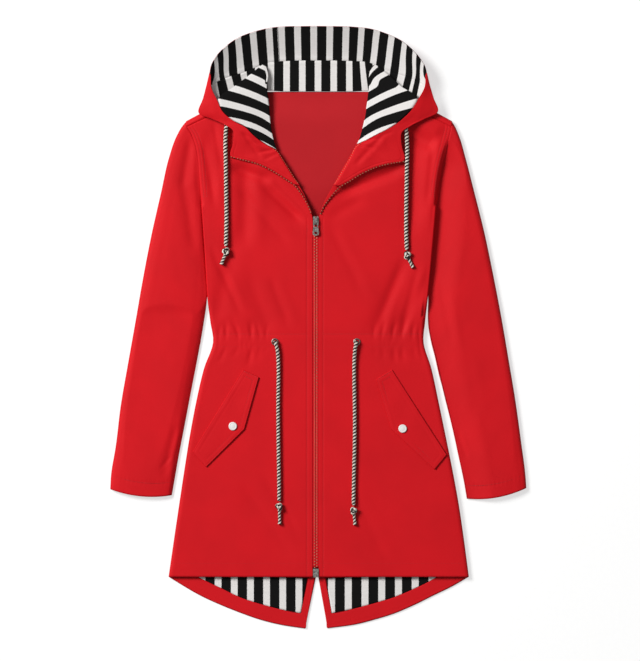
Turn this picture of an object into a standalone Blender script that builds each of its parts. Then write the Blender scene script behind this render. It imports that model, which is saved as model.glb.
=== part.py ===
"""A hooded, zip-front windbreaker laid flat on its back, hood open, sleeves at its sides.

Metres, +Z up, front of the garment up, hood towards +Y. Left and right are the wearer's, so the
wearer's left is at +X. Tables are in millimetres.
"""
import math

import bmesh
import bpy
from mathutils import Vector

MM = 0.001
UP = Vector((0.0, 0.0, 1.0))

# driving dimensions, in millimetres
CLOTH = 1.5            # shell cloth, as a wall
LINING = 1.0           # lining cloth, as a wall
SEAM = 0.3             # gap between sewn pieces
REST = 0.5             # gap under a piece that lies on a panel
WELD = 0.01            # points of a piece closer than this are one
HEM_Y = -413.6         # straight front hem
TAIL_Y = -500.2        # end of the longer back
HOOD_Y = 499.6         # top of the open hood
NECK_Y = 393.0         # neck seam of the back
ARCH_Y = 420.0         # middle that the hood's arch is drawn round
ZIP_X = -4.2           # middle of the zip
ZIP_TOP_Y = 185.5      # top of the slider where the zip stands open
VENT_TOP_Y = -404.0    # where the vent in the tail ends
ROLL = 8.0             # radius of the rounded side edges
SIDE_SEAM_Z = 5.2      # height of the fronts' side edges above the floor
BACK_CURL = 4.7        # height that the back's side edges curl up to
WAIST_Y = -20.0        # middle of the drawn-in waist channel
CUFF_BOW = 6.8         # how far the middle of a cuff hangs below its corners
CUFF_BOW_TOP_Y = -150.0
CORD_D = 7.0           # hood cord
WAIST_CORD_D = 6.4     # waist cord
SNAP_D = 14.0          # press stud cap on a pocket flap

RED = (0.62, 0.014, 0.020)
STRIPE = (0.40, 0.39, 0.38)
METAL = (0.42, 0.42, 0.40)
WHITE = (0.80, 0.79, 0.76)
CORD_GREY = (0.26, 0.24, 0.21)

# body outline: y, x of the right side, x of the left side
BODY_SIDE = (
    (HEM_Y, -249.0, 250.4),
    (-350.0, -239.8, 242.0),
    (-292.0, -231.2, 233.4),
    (-235.0, -222.6, 223.0),
    (-178.0, -213.5, 211.5),
    (-120.0, -202.5, 199.5),
    (-67.0, -190.0, 188.0),
    (-25.0, -175.2, 175.2),
    (10.0, -179.5, 177.6),
    (45.0, -184.0, 181.6),
    (90.0, -187.2, 186.4),
    (130.0, -189.6, 190.0),
    (170.0, -192.4, 193.6),
    (205.0, -194.8, 196.4),
)
# armhole seam from the underarm to the shoulder: y, right x, left x, top height, underside height
ARMHOLE = (
    (205.0, -194.8, 196.4, 5.8, 4.0),
    (213.0, -195.1, 197.0, 7.6, 2.2),
    (228.0, -196.0, 198.2, 9.2, 0.8),
    (254.0, -197.8, 201.4, 10.4, 0.0),
    (282.0, -200.2, 207.6, 10.8, 0.0),
    (304.0, -204.2, 213.6, 11.0, 0.0),
    (319.0, -209.4, 217.6, 11.0, 0.0),
    (328.0, -214.2, 219.8, 11.0, 0.0),
    (334.0, -218.2, 220.9, 11.0, 0.0),
)
# the back's cloth over the shoulder end: right x, left x, y, height (outside of the wall)
SHOULDER_WRAP = (
    (-218.9, 221.5, 340.2, 0.7),
    (-219.4, 221.9, 344.0, 5.4),
    (-218.9, 221.5, 340.6, 9.9),
)
# shoulder from the neck to the armhole: x of seam, y of seam, x of silhouette, y of silhouette
SHOULDER_RIGHT = (
    (-83.0, 380.5, -86.0, 392.0),
    (-115.0, 373.0, -118.5, 384.4),
    (-150.0, 362.6, -154.5, 373.6),
    (-180.0, 351.8, -185.5, 361.8),
    (-203.0, 341.4, -207.0, 350.8),
    (-218.2, 334.0, -219.4, 344.0),
)
SHOULDER_LEFT = (
    (83.0, 380.5, 86.0, 392.0),
    (115.0, 373.4, 118.5, 384.8),
    (150.0, 363.6, 154.5, 374.6),
    (181.0, 353.0, 186.5, 363.0),
    (204.0, 342.4, 208.5, 351.6),
    (220.9, 334.0, 221.9, 344.0),
)
# inner edge of the fronts, up the zip and the roll line: y, right x, left x
FRONT_INNER = (
    (HEM_Y, -9.6, 0.7),
    (150.0, -9.6, 0.7),
    (183.0, -9.8, 1.2),
    (208.0, -17.2, 9.2),
    (230.0, -28.0, 21.0),
    (262.0, -47.6, 38.8),
    (295.0, -68.6, 57.6),
    (309.0, -74.4, 65.0),
    (338.0, -79.0, 74.6),
    (369.0, -81.4, 80.2),
    (380.5, -83.0, 83.0),
)
# rows of the fronts: y at the inner edge, y at the outer edge
FRONT_ROWS = (
    (HEM_Y, HEM_Y), (-396.0, -396.0), (-350.0, -350.0), (-300.0, -300.0), (-250.0, -250.0),
    (-205.0, -205.0), (-160.0, -160.0), (-120.0, -120.0), (-90.0, -90.0), (-66.0, -66.0),
    (-47.0, -47.0), (-33.0, -33.0), (-20.0, -20.0), (-7.0, -7.0), (9.0, 8.0), (32.0, 30.0),
    (64.0, 60.0), (100.0, 95.0), (138.0, 130.0), (180.0, 170.0), (216.0, 205.0), (226.0, 213.0),
    (242.0, 228.0), (270.0, 254.0), (298.0, 282.0), (326.0, 304.0), (350.0, 319.0),
    (367.0, 328.0), (380.5, 334.0),
)
ARMHOLE_START = 20     # the row of the fronts that meets the underarm
# soft height of the fronts above the floor: y, height
LOFT = (
    (HEM_Y, 10.6), (-380.0, 11.0), (-300.0, 11.6), (-100.0, 12.0), (-20.0, 11.6),
    (80.0, 12.4), (200.0, 12.8), (300.0, 12.6), (350.0, 12.2), (394.0, 12.0),
)
# gathers at the waist: x and y at the top, x at the channel's top, x at its foot, x and y at the
# bottom, depth, half width
GATHERS_RIGHT = (
    (-160.0, 16.0, -165.0, -164.0, -170.0, -50.0, 1.4, 3.2),
    (-155.0, 20.0, -153.0, -153.5, -167.0, -64.0, 2.6, 3.4),
    (-148.0, 24.0, -133.0, -133.0, -142.0, -52.0, 2.4, 3.4),
    (-113.0, 20.0, -111.5, -110.8, -117.5, -72.0, 3.0, 3.4),
    (-108.0, 24.0, -98.0, -97.0, -101.0, -58.0, 1.6, 3.2),
    (-84.0, 12.0, -87.0, -86.0, -90.0, -46.0, 1.2, 2.6),
)
GATHERS_LEFT = (
    (168.0, 14.0, 167.0, 167.5, 176.0, -62.0, 1.8, 3.2),
    (160.0, 20.0, 156.5, 157.0, 163.0, -58.0, 2.4, 3.4),
    (150.0, 30.0, 139.5, 139.0, 141.0, -64.0, 2.6, 3.4),
    (130.0, 22.0, 123.5, 124.5, 128.0, -66.0, 2.8, 3.4),
    (112.0, 24.0, 106.0, 105.5, 110.0, -58.0, 2.2, 3.2),
    (94.0, 14.0, 92.0, 92.5, 96.0, -50.0, 1.6, 3.0),
)
# soft folds of the fronts: x and y of one end, x and y of the other, half width, depth
FOLDS = (
    (-138.0, 154.0, -171.0, 13.0, 13.0, 1.6),
    (-113.0, 80.0, -82.0, -3.0, 12.0, 1.5),
    (-82.0, 236.0, -34.0, 181.0, 9.0, 2.0),
    (-180.0, 318.0, -172.0, 240.0, 9.0, 1.5),
    (139.0, 96.0, 92.0, 0.0, 12.0, 1.6),
    (180.0, 84.0, 138.0, -3.0, 10.0, 1.6),
    (69.0, 212.0, 24.0, 186.0, 10.0, 1.2),
    (-120.0, -285.0, -60.0, -380.0, 20.0, 1.0),
)
# sleeve edges from the cuff to the armhole: x and y of the inner edge, x and y of the outer edge,
# height of the top, share of the armhole's own shape
SLEEVE_RIGHT = (
    (-243.5, -278.0, -346.0, -268.0, 11.0, 0.0),
    (-239.5, -255.0, -344.8, -246.0, 11.4, 0.0),
    (-232.0, -212.0, -336.8, -196.0, 12.2, 0.0),
    (-223.5, -168.0, -328.4, -128.0, 12.8, 0.0),
    (-211.5, -105.0, -316.6, -60.0, 13.2, 0.0),
    (-200.5, -48.0, -303.8, 12.0, 13.4, 0.0),
    (-190.6, 8.0, -291.6, 82.0, 13.4, 0.0),
    (-185.4, 48.0, -277.2, 156.0, 13.4, 0.05),
    (-188.3, 92.0, -261.4, 226.0, 13.2, 0.2),
    (-191.0, 130.0, -248.8, 282.0, 13.0, 0.45),
    (-193.6, 166.0, -236.4, 318.0, 12.6, 0.72),
    (-195.1, 190.0, -227.2, 334.6, 12.0, 0.92),
    (-195.5, 205.0, -219.7, 344.2, 11.2, 1.0),
)
SLEEVE_LEFT = (
    (247.0, -284.0, 346.0, -266.0, 11.0, 0.0),
    (243.0, -260.0, 344.6, -246.0, 11.4, 0.0),
    (233.4, -214.0, 337.4, -190.0, 12.2, 0.0),
    (222.8, -166.0, 327.4, -118.0, 12.8, 0.0),
    (208.4, -108.0, 316.4, -52.0, 13.2, 0.0),
    (195.0, -50.0, 304.8, 16.0, 13.4, 0.0),
    (183.4, 0.0, 291.8, 84.0, 13.4, 0.0),
    (183.0, 48.0, 276.4, 158.0, 13.4, 0.05),
    (187.6, 92.0, 258.6, 230.0, 13.2, 0.2),
    (191.4, 130.0, 244.8, 284.0, 13.0, 0.45),
    (195.2, 166.0, 235.0, 318.0, 12.6, 0.72),
    (196.9, 190.0, 227.4, 336.0, 12.0, 0.92),
    (197.1, 205.0, 222.3, 344.6, 11.2, 1.0),
)
# section of a sleeve, from the seam over the top to the seam: share of the width, share of the height
SLEEVE_RING = (
    (0.0, 0.45), (0.0005, 0.54), (0.05, 0.70), (0.18, 0.86), (0.36, 0.96), (0.56, 1.0),
    (0.76, 0.98), (0.91, 0.88), (0.97, 0.74), (0.992, 0.58), (1.0, 0.42), (0.992, 0.22),
    (0.965, 0.06), (0.90, 0.0), (0.76, 0.0), (0.56, 0.0), (0.36, 0.0), (0.18, 0.0), (0.05, 0.05),
    (0.0005, 0.25), (0.0, 0.355),
)
# open hood, right half then left: arch x, y, z; seam arc x, y, z; foot x, y, z
HOOD_RIBS = (
    (-179.0, 422.0, 30.0, -181.0, 400.0, 22.0, -175.0, 374.5, 18.0),
    (-174.8, 440.0, 30.4, -166.0, 409.0, 16.5, -160.0, 379.0, 15.0),
    (-159.0, 461.0, 31.0, -149.0, 416.5, 13.0, -141.0, 385.6, 10.5),
    (-129.5, 482.0, 31.5, -122.0, 425.0, 10.0, -117.0, 393.0, 6.5),
    (-89.0, 494.9, 32.0, -84.0, 440.5, 8.2, -84.0, 394.5, 4.0),
    (-58.0, 498.8, 32.0, -56.0, 443.0, 7.5, -56.0, 393.4, 3.7),
    (-29.0, 499.4, 32.0, -28.0, 444.0, 7.5, -28.0, 393.4, 3.7),
    (0.0, HOOD_Y, 32.0, 0.0, 444.0, 7.5, 0.0, 393.4, 3.7),
    (29.0, 499.3, 32.0, 28.0, 444.0, 7.5, 28.0, 393.4, 3.7),
    (58.0, 498.4, 32.0, 56.0, 443.0, 7.5, 56.0, 393.4, 3.7),
    (93.0, 493.7, 32.0, 84.0, 440.5, 8.2, 84.0, 394.5, 4.0),
    (132.0, 478.8, 31.5, 122.0, 425.0, 10.0, 117.0, 393.4, 6.5),
    (157.4, 459.2, 31.0, 149.0, 416.5, 13.0, 141.0, 386.2, 10.5),
    (174.4, 437.0, 30.4, 165.0, 409.0, 16.5, 159.0, 380.0, 15.0),
    (178.6, 422.0, 30.0, 179.5, 400.0, 22.0, 173.0, 375.5, 18.0),
)
# side linings of the hood, from the front corner to the apex: neck x, y, z; outer x, y, z
LINING_RIGHT = (
    (-68.6, 296.6, 15.4, -84.0, 303.8, 20.0),
    (-72.2, 306.0, 15.4, -103.8, 317.6, 21.4),
    (-76.4, 322.0, 15.2, -120.4, 334.2, 22.6),
    (-79.4, 342.0, 15.2, -140.2, 344.6, 24.0),
    (-81.2, 364.0, 15.2, -158.6, 361.2, 25.4),
    (-83.6, 385.0, 15.2, -165.2, 378.6, 26.0),
    (-85.2, 402.0, 15.0, -142.0, 399.0, 20.6),
    (-83.2, 420.0, 14.4, -115.0, 419.4, 16.4),
    (-86.4, 434.0, 13.4, -93.0, 437.4, 13.8),
)
LINING_LEFT = (
    (64.4, 305.6, 15.4, 80.0, 312.6, 20.0),
    (68.2, 315.0, 15.4, 97.0, 321.4, 21.4),
    (72.4, 329.0, 15.2, 117.0, 331.6, 22.6),
    (76.6, 346.0, 15.2, 139.0, 347.6, 24.0),
    (79.8, 366.0, 15.2, 156.6, 366.2, 25.4),
    (82.2, 386.0, 15.2, 163.8, 380.6, 26.0),
    (84.2, 402.0, 15.0, 139.0, 399.8, 20.6),
    (84.4, 420.0, 14.4, 112.0, 423.8, 16.4),
    (87.4, 434.0, 13.4, 93.0, 437.4, 13.8),
)
# facings, from the hood's pinch to the zip: inner x, y, z; outer x, y, z; share of the rolled lip
FACING_RIGHT = (
    (-178.0, 418.4, 31.2, -180.6, 422.2, 30.9, 0.0),
    (-177.4, 399.0, 29.8, -184.8, 405.0, 27.0, 0.0),
    (-167.6, 377.0, 27.4, -191.4, 380.4, 22.6, 0.0),
    (-160.0, 360.2, 26.0, -198.7, 357.0, 19.4, 0.0),
    (-141.2, 343.4, 24.8, -177.0, 347.0, 19.8, 0.0),
    (-121.4, 332.6, 24.2, -156.0, 337.6, 22.4, 0.0),
    (-104.6, 316.4, 22.8, -141.6, 327.0, 22.8, 0.0),
    (-84.6, 302.8, 20.8, -141.6, 306.0, 20.0, 0.0),
    (-76.0, 299.0, 20.2, -146.0, 286.0, 17.0, 0.3),
    (-67.6, 293.4, 19.6, -122.0, 279.8, 17.4, 0.7),
    (-59.0, 281.0, 19.2, -98.0, 272.8, 17.8, 1.0),
    (-48.0, 263.5, 19.0, -70.0, 258.6, 17.8, 1.0),
    (-38.5, 248.0, 18.4, -51.0, 246.4, 17.4, 0.8),
    (-31.0, 237.0, 17.8, -39.6, 238.6, 17.0, 0.0),
)
FACING_LEFT = (
    (177.4, 418.6, 31.2, 180.2, 422.2, 30.9, 0.0),
    (176.4, 400.0, 29.8, 184.4, 405.0, 27.0, 0.0),
    (166.0, 379.4, 27.4, 191.6, 381.0, 22.6, 0.0),
    (157.8, 365.4, 26.0, 198.8, 359.6, 19.4, 0.0),
    (140.2, 346.8, 24.8, 176.0, 346.6, 20.2, 0.0),
    (117.8, 330.8, 24.2, 154.0, 335.6, 22.6, 0.0),
    (97.4, 320.6, 22.8, 138.4, 324.0, 23.2, 0.0),
    (80.4, 311.8, 20.8, 138.0, 305.0, 21.0, 0.0),
    (71.0, 307.6, 20.2, 142.4, 278.0, 18.8, 0.3),
    (63.4, 302.8, 19.8, 122.0, 274.8, 19.6, 0.7),
    (53.0, 284.0, 19.6, 98.0, 268.9, 20.0, 1.0),
    (41.5, 264.0, 19.4, 71.0, 257.0, 19.4, 1.0),
    (32.0, 248.0, 18.8, 49.0, 243.4, 18.4, 0.8),
    (24.6, 236.6, 18.2, 36.0, 235.8, 17.8, 0.0),
)
# where each zip half runs on below its facing, down to the slider
ZIP_HALF_END_RIGHT = (
    (-24.5, 219.0, 16.0), (-15.6, 203.0, 15.4), (-10.4, 190.6, 15.2),
)
ZIP_HALF_END_LEFT = (
    (19.4, 218.0, 16.8), (8.4, 203.0, 15.8), (2.4, 190.6, 15.2),
)
# outer cloth of the hood's sides: neck x, y, z; outer x, y, z
HOOD_SIDE_RIGHT = (
    (-73.0, 303.0, 14.0, -128.0, 310.0, 14.4),
    (-78.4, 324.0, 14.0, -131.0, 331.0, 15.0),
    (-81.0, 344.0, 14.0, -147.0, 346.0, 15.2),
    (-83.0, 364.0, 14.0, -196.4, 358.2, 16.4),
    (-85.2, 383.0, 14.0, -188.0, 371.6, 17.6),
)
HOOD_SIDE_LEFT = (
    (69.0, 312.0, 14.0, 124.0, 309.0, 14.4),
    (74.6, 331.0, 14.0, 128.0, 329.0, 15.0),
    (78.6, 348.0, 14.0, 146.0, 345.0, 15.2),
    (81.8, 366.0, 14.0, 196.4, 360.6, 16.4),
    (84.4, 384.0, 14.0, 188.0, 372.6, 17.6),
)
# pocket flaps: the five corners of each, going round
FLAP_RIGHT = ((-124.7, -69.0), (-99.0, -81.6), (-123.0, -168.0), (-186.5, -231.0), (-209.0, -206.0))
FLAP_LEFT = ((122.0, -69.0), (95.7, -85.0), (121.0, -168.0), (193.0, -235.0), (213.0, -210.5))
SNAP_RIGHT = (-142.0, -163.0)
SNAP_LEFT = (140.0, -167.0)
# half of the tail: x and y of the hem, x and y of the lining's edge
TAIL_RIGHT = (
    (-22.0, TAIL_Y, -29.4, -474.2),
    (-60.0, -494.5, -62.0, -468.0),
    (-95.0, -486.0, -96.0, -459.0),
    (-127.0, -475.0, -127.0, -449.0),
    (-161.0, -461.5, -160.0, -433.4),
    (-195.0, -446.0, -186.0, -421.0),
    (-223.2, -430.0, -201.0, -413.0),
    (-249.0, -414.0, -212.0, -404.0),
)
TAIL_LEFT = (
    (15.4, -499.8, 22.6, -474.2),
    (60.0, -493.8, 58.0, -467.0),
    (95.0, -485.0, 92.0, -458.0),
    (127.0, -475.0, 124.0, -448.4),
    (161.0, -460.4, 154.0, -436.0),
    (190.0, -446.0, 182.0, -422.6),
    (222.0, -430.4, 198.0, HEM_Y),
    (250.4, -414.0, 211.0, -404.0),
)
# where the vent meets the front hem: x of the cloth's edge, x of the lining's edge
VENT_RIGHT = (-3.9, -15.6)
VENT_LEFT = (0.2, 10.4)
VENT_APEX = (-1.8, VENT_TOP_Y)

# cord routes: x, y, z; the last rows are the free tail below the knot
HOOD_CORD_RIGHT = (
    (-151.6, 338.0, 16.6), (-153.2, 329.0, 16.6), (-154.0, 314.0, 16.8), (-154.0, 294.0, 16.9),
    (-153.4, 270.0, 16.8), (-153.0, 240.0, 16.6), (-152.6, 210.0, 16.4), (-152.4, 180.0, 16.3),
    (-152.8, 155.0, 16.2), (-153.2, 136.0, 16.4),
)
HOOD_CORD_LEFT = (
    (145.0, 332.0, 16.6), (146.6, 323.0, 16.6), (147.4, 308.0, 16.8), (147.6, 288.0, 16.9),
    (147.0, 262.0, 16.8), (146.6, 234.0, 16.6), (146.2, 204.0, 16.4), (146.0, 176.0, 16.3),
    (146.2, 150.0, 16.2), (147.0, 130.0, 16.4),
)
WAIST_CORD_RIGHT = (
    (-71.4, -21.0, 17.3), (-70.0, -27.5, 17.3), (-67.8, -37.0, 16.8), (-66.6, -50.0, 16.0),
    (-66.0, -68.0, 15.6),
    (-66.2, -95.0, 15.6), (-66.6, -130.0, 15.6), (-66.4, -165.0, 15.6), (-66.0, -200.0, 15.6),
    (-65.4, -235.0, 15.5), (-65.0, -265.0, 15.4), (-65.0, -287.0, 15.6),
)
WAIST_CORD_LEFT = (
    (63.6, -21.0, 17.3), (62.4, -27.5, 17.3), (60.8, -37.0, 16.8), (60.0, -50.0, 16.0),
    (59.6, -68.0, 15.6),
    (59.8, -95.0, 15.6), (60.4, -130.0, 15.6), (60.6, -165.0, 15.6), (60.2, -200.0, 15.6),
    (59.4, -238.0, 15.5), (58.8, -272.0, 15.4), (58.5, -294.0, 15.6),
)
# knots: x, y, z, radius
HOOD_KNOT_RIGHT = (
    (-153.3, 134.6, 16.8, 4.4), (-153.0, 130.0, 18.4, 6.2), (-153.2, 124.0, 18.2, 6.0),
    (-155.4, 119.4, 16.6, 3.6), (-158.4, 112.0, 16.0, 3.3), (-160.8, 105.5, 15.8, 3.0),
)
HOOD_KNOT_LEFT = (
    (147.1, 128.6, 16.8, 4.4), (147.4, 124.0, 18.4, 6.2), (148.0, 118.0, 18.2, 6.0),
    (150.6, 113.6, 16.6, 3.6), (153.8, 107.0, 16.0, 3.3), (156.8, 100.6, 15.8, 3.0),
)
WAIST_KNOT_RIGHT = (
    (-65.0, -288.6, 16.0, 4.2), (-65.0, -293.4, 17.6, 5.8), (-64.8, -299.4, 17.4, 5.6),
    (-64.6, -304.4, 15.6, 3.4), (-64.3, -314.0, 15.0, 3.1), (-64.0, -325.6, 14.8, 2.8),
)
WAIST_KNOT_LEFT = (
    (58.5, -295.6, 16.0, 4.2), (58.5, -300.4, 17.6, 5.8), (58.8, -306.2, 17.4, 5.6),
    (59.4, -311.0, 15.6, 3.4), (60.2, -318.0, 15.0, 3.1), (61.0, -326.6, 14.8, 2.8),
)


def lerp(a, b, t):
    return a + (b - a) * t


def smoothstep(t):
    t = min(max(t, 0.0), 1.0)
    return t * t * (3.0 - 2.0 * t)


def table_at(table, key, column):
    """Value of one column of a table whose first column rises, on a smooth curve through its rows."""
    rows = len(table)
    low = 0
    while low < rows - 2 and table[low + 1][0] <= key:
        low += 1
    a, b = table[low], table[low + 1]
    span = b[0] - a[0]
    t = min(max((key - a[0]) / span, 0.0), 1.0)
    slope = (b[column] - a[column]) / span

    def tangent(row):
        if row == 0 or row == rows - 1:
            return slope
        before, after = table[row - 1], table[row + 1]
        return (after[column] - before[column]) / (after[0] - before[0])

    square, cube = t * t, t * t * t
    return ((2 * cube - 3 * square + 1) * a[column]
            + (cube - 2 * square + t) * span * tangent(low)
            + (3 * square - 2 * cube) * b[column]
            + (cube - square) * span * tangent(low + 1))


def along(rows, place):
    """Point on the smooth curve through rows of numbers; place counts rows, from 0."""
    last = len(rows) - 1
    low = min(int(place), last - 1)
    t = place - low
    p1, p2 = rows[low], rows[low + 1]
    p0 = rows[low - 1] if low > 0 else p1
    p3 = rows[low + 2] if low + 2 <= last else p2
    return tuple(
        0.5 * (2 * b + (c - a) * t + (2 * a - 5 * b + 4 * c - d) * t * t
               + (3 * b - a - 3 * c + d) * t * t * t)
        for a, b, c, d in zip(p0, p1, p2, p3))


def rounded(share):
    """Height of a rounded edge, 0 to 1, at a share of its radius in from the edge."""
    share = min(max(share, 0.0), 1.0)
    power = 2.4
    return (1.0 - (1.0 - share) ** power) ** (1.0 / power)


# ---------------------------------------------------------------- height of the fronts

def outer_x(y, side):
    """Outline of the body and the armhole: side 1 is the right column, 2 the left."""
    if y <= ARMHOLE[0][0]:
        return table_at(BODY_SIDE, y, side)
    return table_at(ARMHOLE, y, side)


def edge_height(y):
    """Height of the fronts' outer edge: low along the side seam, on top along the armhole."""
    if y < ARMHOLE[0][0]:
        return SIDE_SEAM_Z
    return table_at(ARMHOLE, y, 3)


def gather_depth(x, y, gathers):
    """Sum of the creases that the waist cord draws in."""
    total = 0.0
    channel_top, channel_foot = WAIST_Y + 11.0, WAIST_Y - 11.0
    for top_x, top_y, upper_x, lower_x, foot_x, foot_y, depth, half in gathers:
        if y > channel_top:
            t = (y - channel_top) / (top_y - channel_top)
            centre = lerp(upper_x, top_x, t)
        elif y > channel_foot:
            t = 0.0
            centre = lerp(lower_x, upper_x, (y - channel_foot) / (channel_top - channel_foot))
        else:
            t = (channel_foot - y) / (channel_foot - foot_y)
            centre = lerp(lower_x, foot_x, t)
        if t < 1.0:
            spread = half * (1.0 + t)
            total += depth * (1.0 - smoothstep(t)) * math.exp(-((x - centre) / spread) ** 2)
    return total


def fold_depth(x, y):
    """Sum of the long soft troughs in the fronts."""
    total = 0.0
    for x0, y0, x1, y1, half, depth in FOLDS:
        run_x, run_y = x1 - x0, y1 - y0
        length = math.hypot(run_x, run_y)
        t = ((x - x0) * run_x + (y - y0) * run_y) / length ** 2
        off = ((x - x0) * run_y - (y - y0) * run_x) / length
        if -0.3 < t < 1.3:
            fade = smoothstep((t + 0.3) / 0.5) * smoothstep((1.3 - t) / 0.5)
            total += depth * fade * math.exp(-(off / half) ** 2)
    return total


def front_height(x, y):
    """Top of the fronts above the floor."""
    side = 1 if x < 0.0 else 2
    outer = abs(outer_x(y, side))
    crown = table_at(LOFT, y, 1) - 0.9 * (x / outer) ** 2
    crown -= gather_depth(x, y, GATHERS_RIGHT if x < 0.0 else GATHERS_LEFT)
    crown -= fold_depth(x, y)
    edge = edge_height(y)
    return edge + (crown - edge) * rounded((outer - abs(x)) / ROLL)


# ---------------------------------------------------------------- making solids

def material(name, colour, roughness, metallic=0.0):
    made = bpy.data.materials.new(name)
    made.use_nodes = True
    shader = made.node_tree.nodes["Principled BSDF"]
    shader.inputs["Base Color"].default_value = (*colour, 1.0)
    shader.inputs["Roughness"].default_value = roughness
    shader.inputs["Metallic"].default_value = metallic
    return made


def add_object(name, mesh, colour, roughness, metallic=0.0):
    """Puts a mesh made in millimetres into the scene at its place."""
    for vertex in mesh.vertices:
        vertex.co = vertex.co * MM
    mesh.shade_smooth()
    mesh.set_sharp_from_angle(angle=math.radians(50))
    mesh.materials.append(material(name, colour, roughness, metallic))
    made = bpy.data.objects.new(name, mesh)
    bpy.context.collection.objects.link(made)
    return made


def turn_outwards(shape, outside):
    """Makes the faces of an open sheet look up, down or, on a tube, away from its middle."""
    shape.normal_update()
    middle = Vector()
    if outside == "tube":
        for vertex in shape.verts:
            middle += vertex.co / len(shape.verts)
    total = 0.0
    for face in shape.faces:
        away = face.calc_center_median() - middle if outside == "tube" else UP
        total += face.normal.dot(away) * face.calc_area()
    if (total < 0.0) != (outside == "down"):
        bmesh.ops.reverse_faces(shape, faces=shape.faces[:])


def cloth(name, grids, thickness, colour, outside="up", roughness=0.62, metallic=0.0):
    """A sewn piece: grids of points on its outside, welded where they touch, walled inwards.

    A grid is a list of rows of points; None leaves a hole in it.
    """
    shape = bmesh.new()
    for grid in grids:
        dots = [[shape.verts.new(p) if p else None for p in row] for row in grid]
        for lower, upper in zip(dots, dots[1:]):
            for k in range(len(lower) - 1):
                corners = (lower[k], lower[k + 1], upper[k + 1], upper[k])
                if all(corners):
                    shape.faces.new(corners)
    bmesh.ops.remove_doubles(shape, verts=shape.verts, dist=WELD)
    turn_outwards(shape, outside)
    mesh = bpy.data.meshes.new(name)
    shape.to_mesh(mesh)
    shape.free()
    made = add_object(name, mesh, colour, roughness, metallic)
    wall = made.modifiers.new("wall", "SOLIDIFY")
    wall.thickness = thickness * MM
    wall.offset = -1.0
    wall.use_quality_normals = True
    return made


def between(rows, across, lift=0.0, bulge=0.0):
    """Grid between two edges; a row holds x, y, z of one edge and x, y, z of the other."""
    grid = []
    for row in rows:
        line = []
        for share in across:
            x, y, z = (lerp(row[k], row[k + 3], share) for k in range(3))
            line.append((x, y, z + lift + bulge * 4.0 * share * (1.0 - share)))
        grid.append(line)
    return grid


def shares(count):
    return [k / count for k in range(count + 1)]


# ---------------------------------------------------------------- body

def front_columns(gathers, side):
    """Places across a front from its side edge, finer where the waist is gathered."""
    waist = abs(outer_x(WAIST_Y, side))
    inner = abs(table_at(FRONT_INNER, WAIST_Y, side))
    width = waist - ROLL - inner
    troughs = [(waist - ROLL - abs(row[2])) / width for row in gathers]
    places = [0.0]
    for k, trough in enumerate(troughs):
        before = troughs[k - 1] if k else 0.0
        places += [(before + trough) / 2.0, trough]
    start = places[-1]
    plain = 5
    places += [lerp(start, 1.0, (k + 1) / plain) for k in range(plain)]
    return sorted(set(place for place in places if place >= 0.0))


def edge_places(weight):
    """Distances in from a side edge: bunched round a rolled edge, even where it lies open."""
    rolled = (0.0, 0.01 * ROLL, 0.12 * ROLL, 0.40 * ROLL)
    even = (0.0, 0.25 * ROLL, 0.50 * ROLL, 0.75 * ROLL)
    return [lerp(b, a, weight) for a, b in zip(rolled, even)]


def roll_weight(row):
    """How far a row's side edge is rolled: whole up to the underarm, then fading."""
    fading = {0: 1.0, 1: 0.6, 2: 0.25}
    return 1.0 if row <= ARMHOLE_START else fading.get(row - ARMHOLE_START, 0.0)


def build_front(name, side, gathers, shoulder):
    sign = -1.0 if side == 1 else 1.0
    columns = front_columns(gathers, side)
    shoulder_seam = [(row[0], row[1]) for row in shoulder]
    grid = []
    last = len(FRONT_ROWS) - 1
    for index, (inner_y, outer_y) in enumerate(FRONT_ROWS):
        inner = (table_at(FRONT_INNER, inner_y, side), inner_y)
        outer = (outer_x(outer_y, side) - sign * SEAM / 2 * (index > ARMHOLE_START), outer_y)
        width = abs(outer[0] - inner[0])
        inset = [d / width for d in edge_places(roll_weight(index))]
        start = ROLL / width
        line = []
        for share in inset + [lerp(start, 1.0, place) for place in columns]:
            x, y = lerp(outer[0], inner[0], share), lerp(outer[1], inner[1], share)
            bow = smoothstep((index - ARMHOLE_START) / (last - ARMHOLE_START))
            seam_x, seam_y = along(shoulder_seam, (1.0 - share) * (len(shoulder_seam) - 1))
            chord_x = lerp(shoulder_seam[-1][0], shoulder_seam[0][0], share)
            chord_y = lerp(shoulder_seam[-1][1], shoulder_seam[0][1], share)
            x += bow * (seam_x - chord_x)
            y += bow * (seam_y - chord_y)
            line.append((x, y, front_height(x, min(y, NECK_Y))))
        grid.append(line)
    return cloth(name, [grid], CLOTH, RED)


BACK_COLUMNS = (0.0, 0.24, 0.48, 0.64, 0.80, 0.90)   # places across half the back, from its middle
NECK_COLUMN = 2                                       # the one at the neck's corner
BACK_ROWS = (                                         # y at the middle, y at the side
    (-380.0, -380.0), (-300.0, -300.0), (-220.0, -220.0), (-140.0, -140.0), (-70.0, -70.0),
    (-25.0, -25.0), (20.0, 20.0), (60.0, 60.0), (110.0, 110.0), (160.0, 160.0),
)
END_GAP = 0.7          # how far the cloth over the shoulder stops short of the sleeve


def back_line(middle, side_x, side_y, curl, weight):
    """One row of half the back, from the middle to the side edge, which curls up off the floor."""
    width = abs(side_x - middle[0])
    insets = [ROLL] + edge_places(weight)[::-1]
    line = []
    for share in BACK_COLUMNS:
        line.append((lerp(middle[0], side_x, share * (1.0 - ROLL / width)),
                     lerp(middle[1], side_y, share * (1.0 - ROLL / width)), 0.0))
    for inset in insets:
        share = 1.0 - inset / width
        height = curl * (1.0 - rounded(inset / ROLL))
        line.append((lerp(middle[0], side_x, share), lerp(middle[1], side_y, share), height))
    return line


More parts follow.
